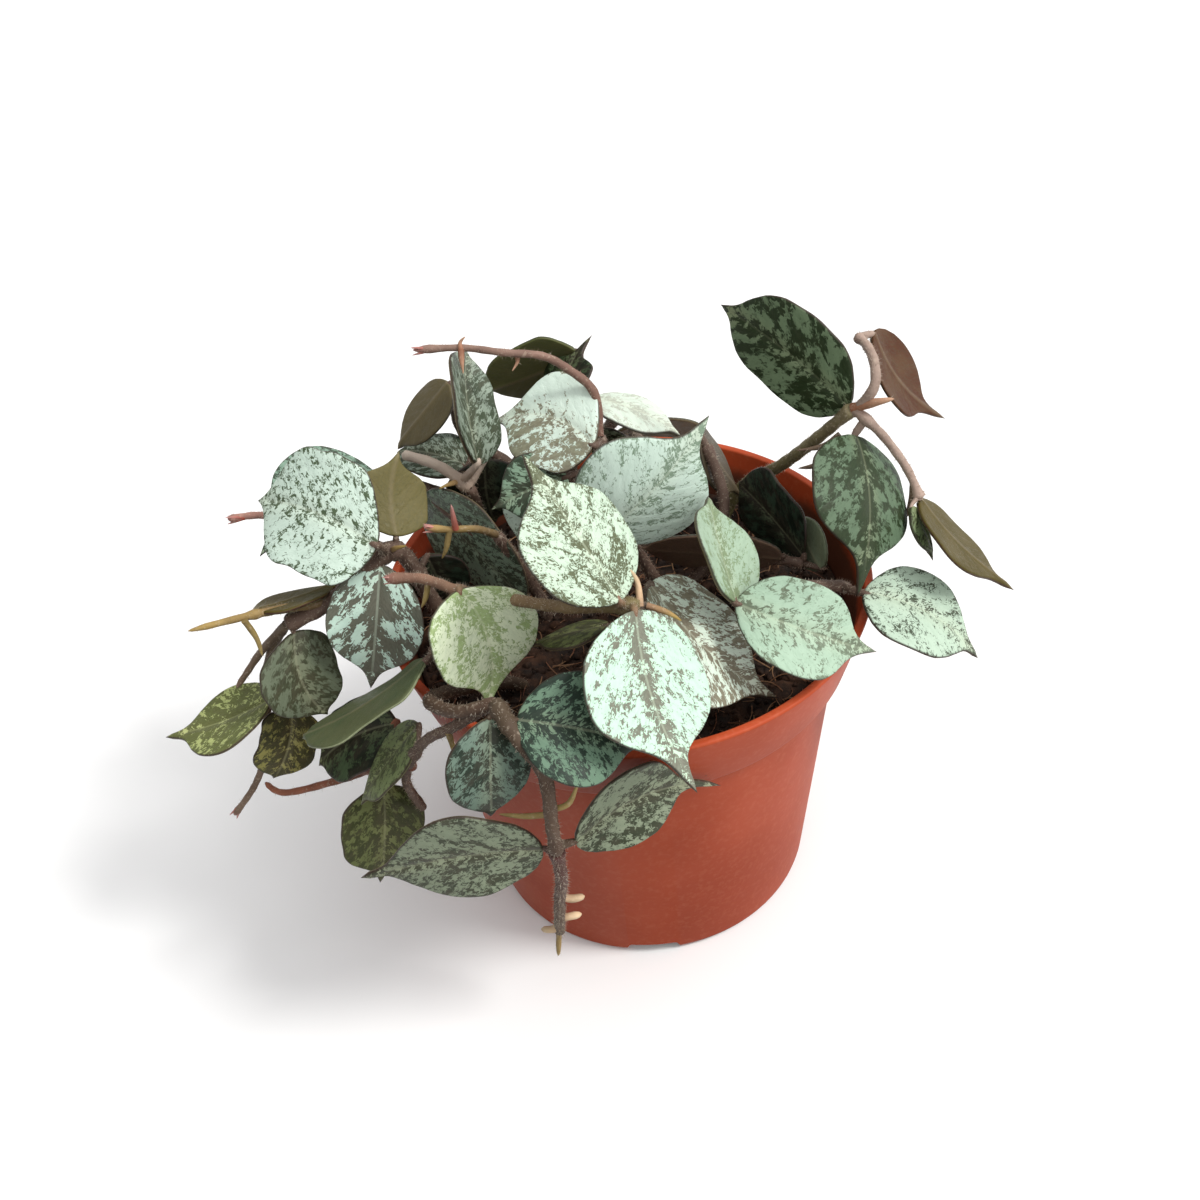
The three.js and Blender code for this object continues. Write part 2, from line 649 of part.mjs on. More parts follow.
// The pot's wall, shoulder, band, lip and floor as one turned profile.
function potShell() {
  const bevelMiddle = BASE_BEVEL * (1 - Math.SQRT1_2);
  const profile = [
    [0, 0],
    [BASE_RADIUS - BASE_BEVEL, 0],
    [BASE_RADIUS - bevelMiddle, bevelMiddle],
    [bodyRadius(BASE_BEVEL), BASE_BEVEL],
    [BODY_TOP_RADIUS, SHOULDER_BOTTOM],
    [BAND_FOOT_RADIUS, SHOULDER_TOP],
    [POT_RIM_RADIUS - LIP_BEAD, LIP_FOOT - 2 * LIP_BEAD],
    [POT_RIM_RADIUS, LIP_FOOT],
    [POT_RIM_RADIUS - LIP_BEVEL, POT_HEIGHT],
    [POT_RIM_RADIUS - WALL - LIP_BEAD, POT_HEIGHT],
    [bandInside(LIP_FOOT), LIP_FOOT],
    [BAND_FOOT_RADIUS - WALL, SHOULDER_TOP + INSIDE_RISE],
    [BODY_TOP_RADIUS - WALL, SHOULDER_BOTTOM + INSIDE_RISE],
    [bodyRadius(FLOOR_THICKNESS) - WALL, FLOOR_THICKNESS],
    [0, FLOOR_THICKNESS],
  ];
  const points = profile.map(([radius, height]) => new THREE.Vector2(radius, height));
  return new THREE.LatheGeometry(points, POT_SEGMENTS).rotateX(Math.PI / 2);
}

// One drain notch: a wedge with sloped sides that cuts the foot of the pot.
function notchGeometry(index) {
  const slope = (NOTCH_WIDTH_FOOT - NOTCH_WIDTH_TOP) / 2 / NOTCH_HEIGHT;
  const lowHalf = NOTCH_WIDTH_FOOT / 2 + NOTCH_OVERRUN * slope;
  const shape = new THREE.Shape();
  shape.moveTo(-lowHalf, -NOTCH_OVERRUN);
  shape.lineTo(lowHalf, -NOTCH_OVERRUN);
  shape.lineTo(NOTCH_WIDTH_TOP / 2, NOTCH_HEIGHT);
  shape.lineTo(-NOTCH_WIDTH_TOP / 2, NOTCH_HEIGHT);
  shape.closePath();
  const depth = NOTCH_OUTER_RADIUS - NOTCH_INNER_RADIUS;
  const geometry = new THREE.ExtrudeGeometry(shape, { depth, bevelEnabled: false });
  geometry.rotateX(Math.PI / 2).translate(0, NOTCH_OUTER_RADIUS, 0);
  const turn = NOTCH_START_DEG - 90 + 360 * index / NOTCH_COUNT;
  return geometry.rotateZ(THREE.MathUtils.degToRad(turn));
}

// The pot with its notches cut out.
function potGeometry() {
  let solid = toSolid(potShell());
  for (let i = 0; i < NOTCH_COUNT; i += 1) {
    solid = solid.subtract(toSolid(notchGeometry(i)));
  }
  return toGeometry(solid);
}

// The height of the soil's uneven top at a place.
function soilHeight(x, y) {
  return SOIL_WAVES.reduce((total, wave) => {
    return total + wave.height * Math.sin(x * wave.alongX + y * wave.alongY + wave.start);
  }, SOIL_TOP);
}

// The soil fills the pot to below its rim, with an uneven top.
function soilBlock() {
  const bottom = FLOOR_THICKNESS + SOIL_CLEARANCE;
  const topRadius = bandInside(SOIL_TOP) - SOIL_CLEARANCE;
  const points = [
    new THREE.Vector2(0, bottom),
    new THREE.Vector2(bodyRadius(bottom) - WALL - SOIL_CLEARANCE, bottom),
    new THREE.Vector2(BODY_TOP_RADIUS - WALL - SOIL_CLEARANCE, SHOULDER_BOTTOM),
  ];
  for (let ring = SOIL_RINGS; ring >= 0; ring -= 1) {
    points.push(new THREE.Vector2(topRadius * ring / SOIL_RINGS, SOIL_TOP));
  }
  const geometry = new THREE.LatheGeometry(points, SOIL_SEGMENTS).rotateX(Math.PI / 2);
  const position = geometry.attributes.position;
  for (let i = 0; i < position.count; i += 1) {
    if (position.getZ(i) > SOIL_TOP - TOP_TOLERANCE) {
      position.setZ(i, soilHeight(position.getX(i), position.getY(i)));
    }
  }
  return geometry;
}

// A plain hole in the soil for the foot of one stem, a little wider and deeper.
function stemHole(shoot) {
  const { points, radius } = shoot.stems[0];
  const [x, y, z] = points[0];
  const route = [[x, y, z - HOLE_CLEARANCE], ...points.slice(1, HOLE_POINTS)];
  return tubeGeometry(route, radius + HOLE_CLEARANCE, HOLE_SIDES, STEM_STEP);
}

// The soil with a hole for each stem.
function soilGeometry() {
  let solid = toSolid(soilBlock());
  for (const shoot of SHOOTS) {
    solid = solid.subtract(toSolid(stemHole(shoot)));
  }
  return toGeometry(solid);
}

// A named piece with its own colour and finish.
function piece(name, geometry, colour, roughness) {
  geometry.computeVertexNormals();
  const material = new THREE.MeshStandardMaterial({ color: colour, roughness, metalness: 0 });
  const mesh = new THREE.Mesh(geometry, material);
  mesh.name = name;
  return mesh;
}

// The pot, the soil and every leafy stem in one group.
function buildPlant() {
  const plant = new THREE.Group();
  plant.add(piece('pot', potGeometry(), COLOURS.terracotta, ROUGHNESS.pot));
  plant.add(piece('soil', soilGeometry(), COLOURS.soil, ROUGHNESS.soil));
  for (const shoot of SHOOTS) {
    plant.add(piece(shoot.name, shootGeometry(shoot), shoot.colour, ROUGHNESS.plant));
  }
  return plant;
}

export default buildPlant();
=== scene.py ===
"""A silver Hoya curtisii in a terracotta-coloured nursery pot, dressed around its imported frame.

Lengths are in millimetres in the classes below and become metres as each mesh is made.
+Z is up, the origin is the middle of the pot's underside and the viewer looks along +Y.
"""

from __future__ import annotations

import logging
import math
from dataclasses import dataclass, field
from enum import Enum

import bmesh
import bpy
import numpy as np
from mathutils import Matrix, Vector


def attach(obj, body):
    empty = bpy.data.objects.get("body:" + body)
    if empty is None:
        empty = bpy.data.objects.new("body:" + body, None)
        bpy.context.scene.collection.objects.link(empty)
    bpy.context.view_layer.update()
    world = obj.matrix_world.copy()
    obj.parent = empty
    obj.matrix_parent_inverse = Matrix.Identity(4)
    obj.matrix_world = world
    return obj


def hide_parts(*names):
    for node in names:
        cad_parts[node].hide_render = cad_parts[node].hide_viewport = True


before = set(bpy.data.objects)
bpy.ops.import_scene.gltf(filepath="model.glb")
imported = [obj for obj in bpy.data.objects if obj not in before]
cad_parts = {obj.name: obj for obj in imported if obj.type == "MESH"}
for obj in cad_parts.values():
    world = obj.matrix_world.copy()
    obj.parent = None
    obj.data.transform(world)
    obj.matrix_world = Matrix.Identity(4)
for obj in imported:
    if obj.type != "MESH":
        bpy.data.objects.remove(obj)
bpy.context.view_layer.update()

LOG = logging.getLogger("hoya")
MM = 0.001
SEEDS_A_SHOOT = 100
SMALL_STEM_SEEDS = 50
ROOTLET_RADIUS = 0.58
PEG_RADIUS = 0.72

Point = tuple[float, float, float]
Colour = tuple[float, float, float]


def shade(code: str) -> Colour:
    """Turns a display colour into the linear one that shaders use.

    Args:
        code: Six hexadecimal digits.

    Returns:
        Red, green and blue, from 0 to 1.
    """
    values = [int(code[i:i + 2], 16) / 255 for i in (0, 2, 4)]
    return tuple(v / 12.92 if v <= 0.04045 else ((v + 0.055) / 1.055) ** 2.4 for v in values)


class Tree:
    """Adds nodes to a node tree and links them."""

    def __init__(self, tree: bpy.types.NodeTree) -> None:
        """Keeps the tree that the nodes go into."""
        self.tree = tree

    def add(self, kind: str, inputs: dict | None = None, **settings: object) -> bpy.types.Node:
        """Adds one node.

        Args:
            kind: The node's type name.
            inputs: Values or linked sockets, by the name or the number of the input.
            settings: The node's own properties.

        Returns:
            The new node.
        """
        node = self.tree.nodes.new(kind)
        for name, value in settings.items():
            setattr(node, name, value)
        for key, value in (inputs or {}).items():
            if isinstance(value, bpy.types.NodeSocket):
                self.tree.links.new(value, node.inputs[key])
            else:
                node.inputs[key].default_value = value
        return node

    def math(self, operation: str, a: object, b: object = 0.0, clamp: bool = False) -> bpy.types.NodeSocket:
        """Adds a Math node and returns its result."""
        node = self.add("ShaderNodeMath", {0: a, 1: b}, operation=operation, use_clamp=clamp)
        return node.outputs[0]

    def vector(self, operation: str, a: object, b: object) -> bpy.types.NodeSocket:
        """Adds a Vector Math node and returns its vector."""
        return self.add("ShaderNodeVectorMath", {0: a, 1: b}, operation=operation).outputs[0]

    def step(self, value: object, low: float, high: float, start: float = 0.0, end: float = 1.0
             ) -> bpy.types.NodeSocket:
        """Turns a value into a smooth step between two limits and returns it."""
        node = self.add("ShaderNodeMapRange", {0: value, 1: low, 2: high, 3: start, 4: end},
                        interpolation_type="SMOOTHSTEP")
        return node.outputs[0]

    def mix(self, share: object, first: object, second: object, blend: str = "MIX") -> bpy.types.NodeSocket:
        """Mixes two colours by a share and returns the result."""
        node = self.add("ShaderNodeMix", {"Factor": share}, data_type="RGBA", blend_type=blend)
        for socket, value in ((node.inputs[6], first), (node.inputs[7], second)):
            if isinstance(value, bpy.types.NodeSocket):
                self.tree.links.new(value, socket)
            else:
                socket.default_value = (*value[:3], 1.0)
        return node.outputs[2]

    def noise(self, place: object, scale: float, detail: float = 3.0, roughness: float = 0.5,
              distortion: float = 0.0) -> bpy.types.NodeSocket:
        """Adds a Noise Texture and returns its value."""
        inputs = {"Vector": place, "Scale": scale, "Detail": detail, "Roughness": roughness,
                  "Distortion": distortion}
        return self.add("ShaderNodeTexNoise", inputs).outputs["Fac"]

    def attribute(self, name: str, output: str = "Color") -> bpy.types.NodeSocket:
        """Reads a named attribute of the mesh and returns one of its outputs."""
        return self.add("ShaderNodeAttribute", attribute_name=name).outputs[output]

    def object_place(self) -> bpy.types.NodeSocket:
        """Reads the place on the object."""
        return self.add("ShaderNodeTexCoord").outputs["Object"]

    def set_surface(self, surface: bpy.types.Node, colour: bpy.types.NodeSocket, rough: object,
                    specular: float | None = None, relief: dict | None = None) -> None:
        """Gives a surface its colour, roughness, shine and relief.

        Args:
            surface: The surface shader.
            colour: The colour.
            rough: The roughness, as a value or a linked socket.
            specular: The shine, or None to leave it as it is.
            relief: The inputs of a Bump node, or None for a smooth surface.
        """
        self.tree.links.new(colour, surface.inputs["Base Color"])
        if isinstance(rough, bpy.types.NodeSocket):
            self.tree.links.new(rough, surface.inputs["Roughness"])
        else:
            surface.inputs["Roughness"].default_value = rough
        if specular is not None:
            surface.inputs["Specular IOR Level"].default_value = specular
        if relief:
            bump = self.add("ShaderNodeBump", relief)
            self.tree.links.new(bump.outputs[0], surface.inputs["Normal"])

    def place_copies(self, spots: bpy.types.Node, form: bpy.types.Node, turn: bpy.types.NodeSocket,
                     sizes: tuple[float, float], seed: int, material: bpy.types.NodeSocket
                     ) -> bpy.types.NodeSocket:
        """Puts copies of a form on scattered points and returns them as real mesh.

        Args:
            spots: The node that scatters the points.
            form: The node that makes the form.
            turn: The turn of each copy.
            sizes: The least and the most of a copy's size.
            seed: The seed of the sizes.
            material: The copies' material.

        Returns:
            The copies.
        """
        size = self.add("FunctionNodeRandomValue", {2: sizes[0], 3: sizes[1], "Seed": seed},
                        data_type="FLOAT")
        placed = self.add("GeometryNodeInstanceOnPoints", {
            "Points": spots.outputs[0], "Instance": form.outputs[0], "Rotation": turn,
            "Scale": size.outputs[1]})
        real = self.add("GeometryNodeRealizeInstances", {"Geometry": placed.outputs[0]})
        coat = self.add("GeometryNodeSetMaterial", {"Geometry": real.outputs[0], "Material": material})
        return coat.outputs[0]


def new_material(name: str) -> tuple[bpy.types.Material, Tree, bpy.types.Node]:
    """Makes an empty material.

    Args:
        name: The material's name.

    Returns:
        The material, its tree and its surface shader.
    """
    material = bpy.data.materials.new(name)
    material.use_nodes = True
    material.node_tree.nodes.clear()
    tree = Tree(material.node_tree)
    surface = tree.add("ShaderNodeBsdfPrincipled")
    tree.add("ShaderNodeOutputMaterial", {"Surface": surface.outputs[0]})
    return material, tree, surface


def new_shape_tree(name: str, inputs: dict[str, str], result: str) -> Tree:
    """Makes an empty Geometry Nodes tree.

    Args:
        name: The tree's name.
        inputs: The kind of each named input, such as Float. The shape that it works on comes first.
        result: The name of the shape that it gives.

    Returns:
        The tree.
    """
    tree = bpy.data.node_groups.new(name, "GeometryNodeTree")
    for label, kind in inputs.items():
        tree.interface.new_socket(label, in_out="INPUT", socket_type=f"NodeSocket{kind}")
    tree.interface.new_socket(result, in_out="OUTPUT", socket_type="NodeSocketGeometry")
    return Tree(tree)


@dataclass(frozen=True)
class LeafLook:
    """The finish of one leaf.

    The upper side has a pale, silvery film with flecks and blotches of the dark ground
    between it. Cover is the share that the film leaves dark, band the darkening along
    the midrib, grain the size of the flecks, and stretch how far they run along the veins.
    Blotch gathers the flecks in patches, rib is how clear the pale midrib is, brown
    how much of the dark ground is brown, soft how blurred the flecks are, and lean how
    much more of the ground shows on one side of the midrib than on the other.
    """

    pale: str
    dark: str
    back: str = "6E6248"
    rim: str = "3E302A"
    cover: float = 0.3
    band: float = 0.3
    grain: float = 1.0
    stretch: float = 1.4
    blotch: float = 0.5
    rib: float = 0.25
    brown: float = 0.3
    soft: float = 0.0
    lean: float = 0.0


class LeafTone(Enum):
    """The looks of this plant's leaves, from the brightest to the undersides. The SHADED tones are darkened
    as painted shade, and two tones are lightened as painted light.
    """

    BRIGHT_SILVER = LeafLook("C2E2CC", "7C8070", cover=0.28, band=0.9, grain=1.2, stretch=1.2, brown=0.4,
                             soft=0.15)
    SILVER_FLECKED = LeafLook("C6DAC4", "62694E", cover=0.38, band=0.25, stretch=1.2, brown=0.15,
                              soft=0.2)
    SILVER_SOFT = LeafLook("D2E6D8", "8AA08A", cover=0.27, band=0.35, stretch=1.5, brown=0.1)
    SILVER_DOTTED = LeafLook("B8CCB8", "4B5645", cover=0.25, grain=0.9, stretch=1.2, soft=0.15)
    SILVER_LIT = LeafLook("DAEEDF", "58694E", grain=1.35, stretch=1.2, blotch=0.3, brown=0.1, soft=0.25,
                          lean=0.05)
    SILVER_BROWN = LeafLook("DCEDE0", "93937C", cover=0.34, grain=1.4, stretch=1.3, blotch=0.7,
                            brown=0.7, soft=0.15, lean=-0.4)
    # Partly lightened as painted light: this leaf lies in its neighbours' shade from the lamp.
    LIT_STREAKED_BROWN = LeafLook("D6E4D4", "86826E", cover=0.48, band=0.4, grain=1.4, stretch=1.9,
                              brown=0.6, soft=0.15)
    # Lightened as painted light: this leaf lies in its neighbours' shade from the lamp.
    LIT_FRESH_GREEN = LeafLook("EAF6D4", "ADC488", cover=0.38, band=0.5, stretch=1.3, brown=0.05, soft=0.2)
    MINT = LeafLook("AAC3AC", "72806A", cover=0.2, band=0.5, grain=1.2, stretch=1.3, soft=0.5)
    MINT_CLEAR = LeafLook("A3B9A1", "829672", cover=0.26, band=0.75, grain=0.9, soft=0.2)
    SHADED_MINT = LeafLook("93B09C", "4C5B4C", cover=0.35, soft=0.3)
    SHADED_STREAKED = LeafLook("8CA890", "3C4A3A", cover=0.5, grain=1.2, stretch=2.2, soft=0.3)
    TURQUOISE_BROWN = LeafLook("CBE5D6", "66685A", cover=0.48, band=0.9, grain=1.5, stretch=1.6,
                               blotch=0.9)
    GREY_MINT = LeafLook("929D84", "39402C", cover=0.47, band=0.25, grain=1.3, stretch=1.2, blotch=0.6,
                         soft=0.4)
    TEAL_DARK = LeafLook("6A8670", "24352A", cover=0.5, grain=1.3, blotch=0.6, soft=0.5, brown=0.1)
    TEAL_FLECKED = LeafLook("697D6F", "202E22", cover=0.45, band=0.4, grain=1.1, blotch=0.6, soft=0.5)
    CAMOUFLAGE = LeafLook("788C6C", "2B3A20", back="3A2A15", cover=0.5, band=0.4, grain=2.6, stretch=1.1,
                          blotch=0.9, rib=0.1, brown=0.1, soft=0.75)
    CAMOUFLAGE_PALE = LeafLook("5E725A", "29381F", back="35210F", cover=0.46, band=0.5, grain=2.0,
                               stretch=1.1, blotch=0.8, rib=0.2, brown=0.1, soft=0.6)
    GREY_OLIVE = LeafLook("68715C", "424632", cover=0.5, band=0.1, grain=1.9, soft=0.7)
    GREEN_GREY = LeafLook("929F90", "475240", cover=0.52, band=0.25, grain=1.4, stretch=1.8, soft=0.2)
    YELLOW_GREEN = LeafLook("B3BC7B", "697040", cover=0.72, band=0.2, grain=1.3)
    OLIVE_FLECKED = LeafLook("6C7446", "3B401C", cover=0.55, band=0.2, grain=1.5, soft=0.5)
    OLIVE_STREAKED = LeafLook("87824A", "3B3A1C", cover=0.6, band=0.2, grain=1.6, soft=0.6)
    DARK_GREEN = LeafLook("405035", "161C0A", cover=0.6, band=0.2, grain=1.8, soft=0.7)
    LEAF_GREEN = LeafLook("8E9C6C", "5C6440", back="8A8E60", cover=0.45, band=0.2, grain=1.2)
    WHITE_SILVER = LeafLook("D9E5D6", "C8CFBE", back="888468", cover=0.32, band=0.2, grain=1.6)
    UNDER_RED = LeafLook("738675", "2C3622", back="4C260C", rim="4E3424")
    UNDER_OLIVE = LeafLook("75815E", "313517", back="4C4008", rim="46281C")
    UNDER_GOLD = LeafLook("9CB090", "5E6A4C", back="6C643A", rim="5E4B38")
    UNDER_BROWN = LeafLook("738675", "3C4638", back="4A4030", rim="3A3028")
    UNDER_PLUM = LeafLook("738675", "3C4638", back="7A6252", rim="4A3A30")
    UNDER_UMBER = LeafLook("738675", "3C4638", back="645A3E", rim="4A4030")
    UNDER_MOSS = LeafLook("70805A", "3A4428", back="5C6038", rim="3A3C24")
    UNDER_DARK = LeafLook("70805A", "3A4428", back="3E4226", rim="2A2818")
    UNDER_GREY = LeafLook("9CB090", "5E6A4C", back="7E8A70", rim="4A4A3A")
    UNDER_GREEN = LeafLook("A5B58A", "566036", back="4C5638", rim="8A9070")
    SHADED_DARK = LeafLook("2E3E30", "141C14", back="26281C", cover=0.6, grain=1.8, soft=0.9)
    STREAKED_GREEN = LeafLook("96AE98", "4C5A48", cover=0.5, grain=1.6, stretch=1.2, soft=0.3)


@dataclass(frozen=True)
class StemTone:
    """The finish of a stretch of stem: its colours at either end, and how hairy it is."""

    start: str
    end: str
    fuzz: float = 0.6


class StemFinish(Enum):
    """The finishes of this plant's stems and aerial rootlets."""

    BARK = StemTone("5E4C40", "6B564A")
    FUZZY = StemTone("62564A", "6E6054", fuzz=1.0)
    HANGING = StemTone("544636", "5A4638", fuzz=0.45)
    COLLAR = StemTone("5A3A36", "5E5244", fuzz=1.0)
    OLIVE_TO_PINK = StemTone("6A6A40", "8E8262", fuzz=0.5)
    PINK_GREY = StemTone("A18B7E", "B49C8E", fuzz=0.7)
    PINK_BROWN = StemTone("8C6658", "B98A7C", fuzz=0.7)
    RED_BROWN = StemTone("6A4234", "A5684E", fuzz=0.3)
    TENDRIL = StemTone("6B5B4A", "87705E", fuzz=0.2)
    YOUNG = StemTone("6E5A40", "B09458", fuzz=0.3)
    ROOT_TAN = StemTone("A98468", "AB9248", fuzz=0.0)
    ROOT_CREAM = StemTone("C9A482", "E8CFA8", fuzz=0.0)
    ROOT_YELLOW = StemTone("8E7A48", "BCA46A", fuzz=0.0)
    BRACT = StemTone("8E5A40", "C9A083", fuzz=0.1)
    BUD_PINK = StemTone("B5563F", "D9A39C", fuzz=0.0)
    CREAM_PINK = StemTone("A08C7C", "D6C6B6", fuzz=0.5)
    PINK_GREY_DARK = StemTone("7C5A4C", "9C8072", fuzz=0.4)
    OLIVE_TO_BROWN = StemTone("7B7049", "96705F", fuzz=0.8)


class StemEnd(Enum):
    """How a stem ends: in another stem, in a bare point or in a leaf bud."""

    JOINED = "joined"
    POINT = "point"
    BUD = "bud"


class SmoothCurve:
    """A smooth curve through points, one cubic piece between each two of them."""

    def __init__(self, points: list[Point]) -> None:
        """Keeps the points."""
        self.points = np.array(points, dtype=float)

    def at(self, shares: np.ndarray) -> np.ndarray:
        """Gives the places at shares of the curve, by its pieces.

        Args:
            shares: Values from 0 to 1.

        Returns:
            One row for each share.
        """
        last = len(self.points) - 1
        place = np.clip(shares, 0, 1) * last
        index = np.minimum(place.astype(int), last - 1)
        t = (place - index)[:, None]
        ends = [self.points[np.clip(index + shift, 0, last)] for shift in (-1, 0, 1, 2)]
        return smooth_step(*ends, t)

    def length(self) -> float:
        """Gives the curve's length."""
        points = self.at(np.linspace(0, 1, 80))
        return float(np.linalg.norm(np.diff(points, axis=0), axis=1).sum())


def smooth_step(before: np.ndarray, start: np.ndarray, end: np.ndarray, after: np.ndarray, t: np.ndarray
                ) -> np.ndarray:
    """Gives the cubic between start and end that also heads for their neighbours."""
    return 0.5 * (2 * start + (end - before) * t + (2 * before - 5 * start + 4 * end - after) * t ** 2
                  + (3 * start - before - 3 * end + after) * t ** 3)


def unit(vector: np.ndarray) -> np.ndarray:
    """Gives a vector's direction."""
    return vector / np.linalg.norm(vector)


def direction(azimuth: float, elevation: float) -> np.ndarray:
    """Gives the direction that a compass angle and a height in degrees point to."""
    turn, rise = math.radians(azimuth), math.radians(elevation)
    return np.array([math.cos(rise) * math.cos(turn), math.cos(rise) * math.sin(turn), math.sin(rise)])


class MeshParts:
    """Gathers points, faces and attributes of several forms into one mesh."""

    def __init__(self) -> None:
        """Starts with nothing."""
        self.points: list[np.ndarray] = []
        self.faces: list[list[int]] = []
        self.values: dict[str, list[np.ndarray]] = {}
        self.count = 0

    def add(self, points: np.ndarray, faces: list[list[int]], values: dict[str, np.ndarray]) -> None:
        """Adds one form.

        Args:
            points: Its points in millimetres.
            faces: Its faces, by its own points.
            values: An array of numbers or colours, one for each point, by attribute name.
        """
        self.points.append(points)
        self.faces.extend([corner + self.count for corner in face] for face in faces)
        for name, array in values.items():
            self.values.setdefault(name, []).append(array)
        self.count += len(points)

    def build(self, name: str, edges: bool = False) -> bpy.types.Object:
        """Makes the mesh object.

        Args:
            name: The object's name.
            edges: Whether the faces are edges, as the paths of stems are.

        Returns:
            The object, in metres.
        """
        mesh = bpy.data.meshes.new(name)
        points = (np.concatenate(self.points) * MM).tolist()
        mesh.from_pydata(points, self.faces if edges else [], [] if edges else self.faces)
        for label, arrays in self.values.items():
            store(mesh, label, np.concatenate(arrays))
        if not edges:
            mesh.shade_smooth()
        obj = bpy.data.objects.new(name, mesh)
        bpy.context.scene.collection.objects.link(obj)
        return obj


def skin_faces(rings: int, around: int) -> list[list[int]]:
    """Gives the faces of a closed body of rings, whose two end points come after the rings' points."""
    faces = []
    for ring in range(rings - 1):
        low, high = ring * around, (ring + 1) * around
        for i in range(around):
            n = (i + 1) % around
            faces.append([low + i, low + n, high + n, high + i])
    first, last = rings * around, rings * around + 1
    top = (rings - 1) * around
    for i in range(around):
        n = (i + 1) % around
        faces.append([first, n, i])
        faces.append([last, top + i, top + n])
    return faces


def store(mesh: bpy.types.Mesh, name: str, values: np.ndarray) -> None:
    """Stores an attribute on the points of a mesh.

    Args:
        mesh: The mesh.
        name: The attribute's name.
        values: One number, or one row of three or four numbers, for each point.
    """
    width = 1 if values.ndim == 1 else values.shape[1]
    kind, key = {1: ("FLOAT", "value"), 3: ("FLOAT_VECTOR", "vector"), 4: ("FLOAT_COLOR", "color")}[width]
    layer = mesh.attributes.new(name, kind, "POINT")
    layer.data.foreach_set(key, np.ascontiguousarray(values, dtype=np.float32).ravel())


def colour_rows(code: str, count: int, last: float = 1.0) -> np.ndarray:
    """Gives one colour for each of several points, with a fourth value."""
    return np.tile([*shade(code), last], (count, 1))


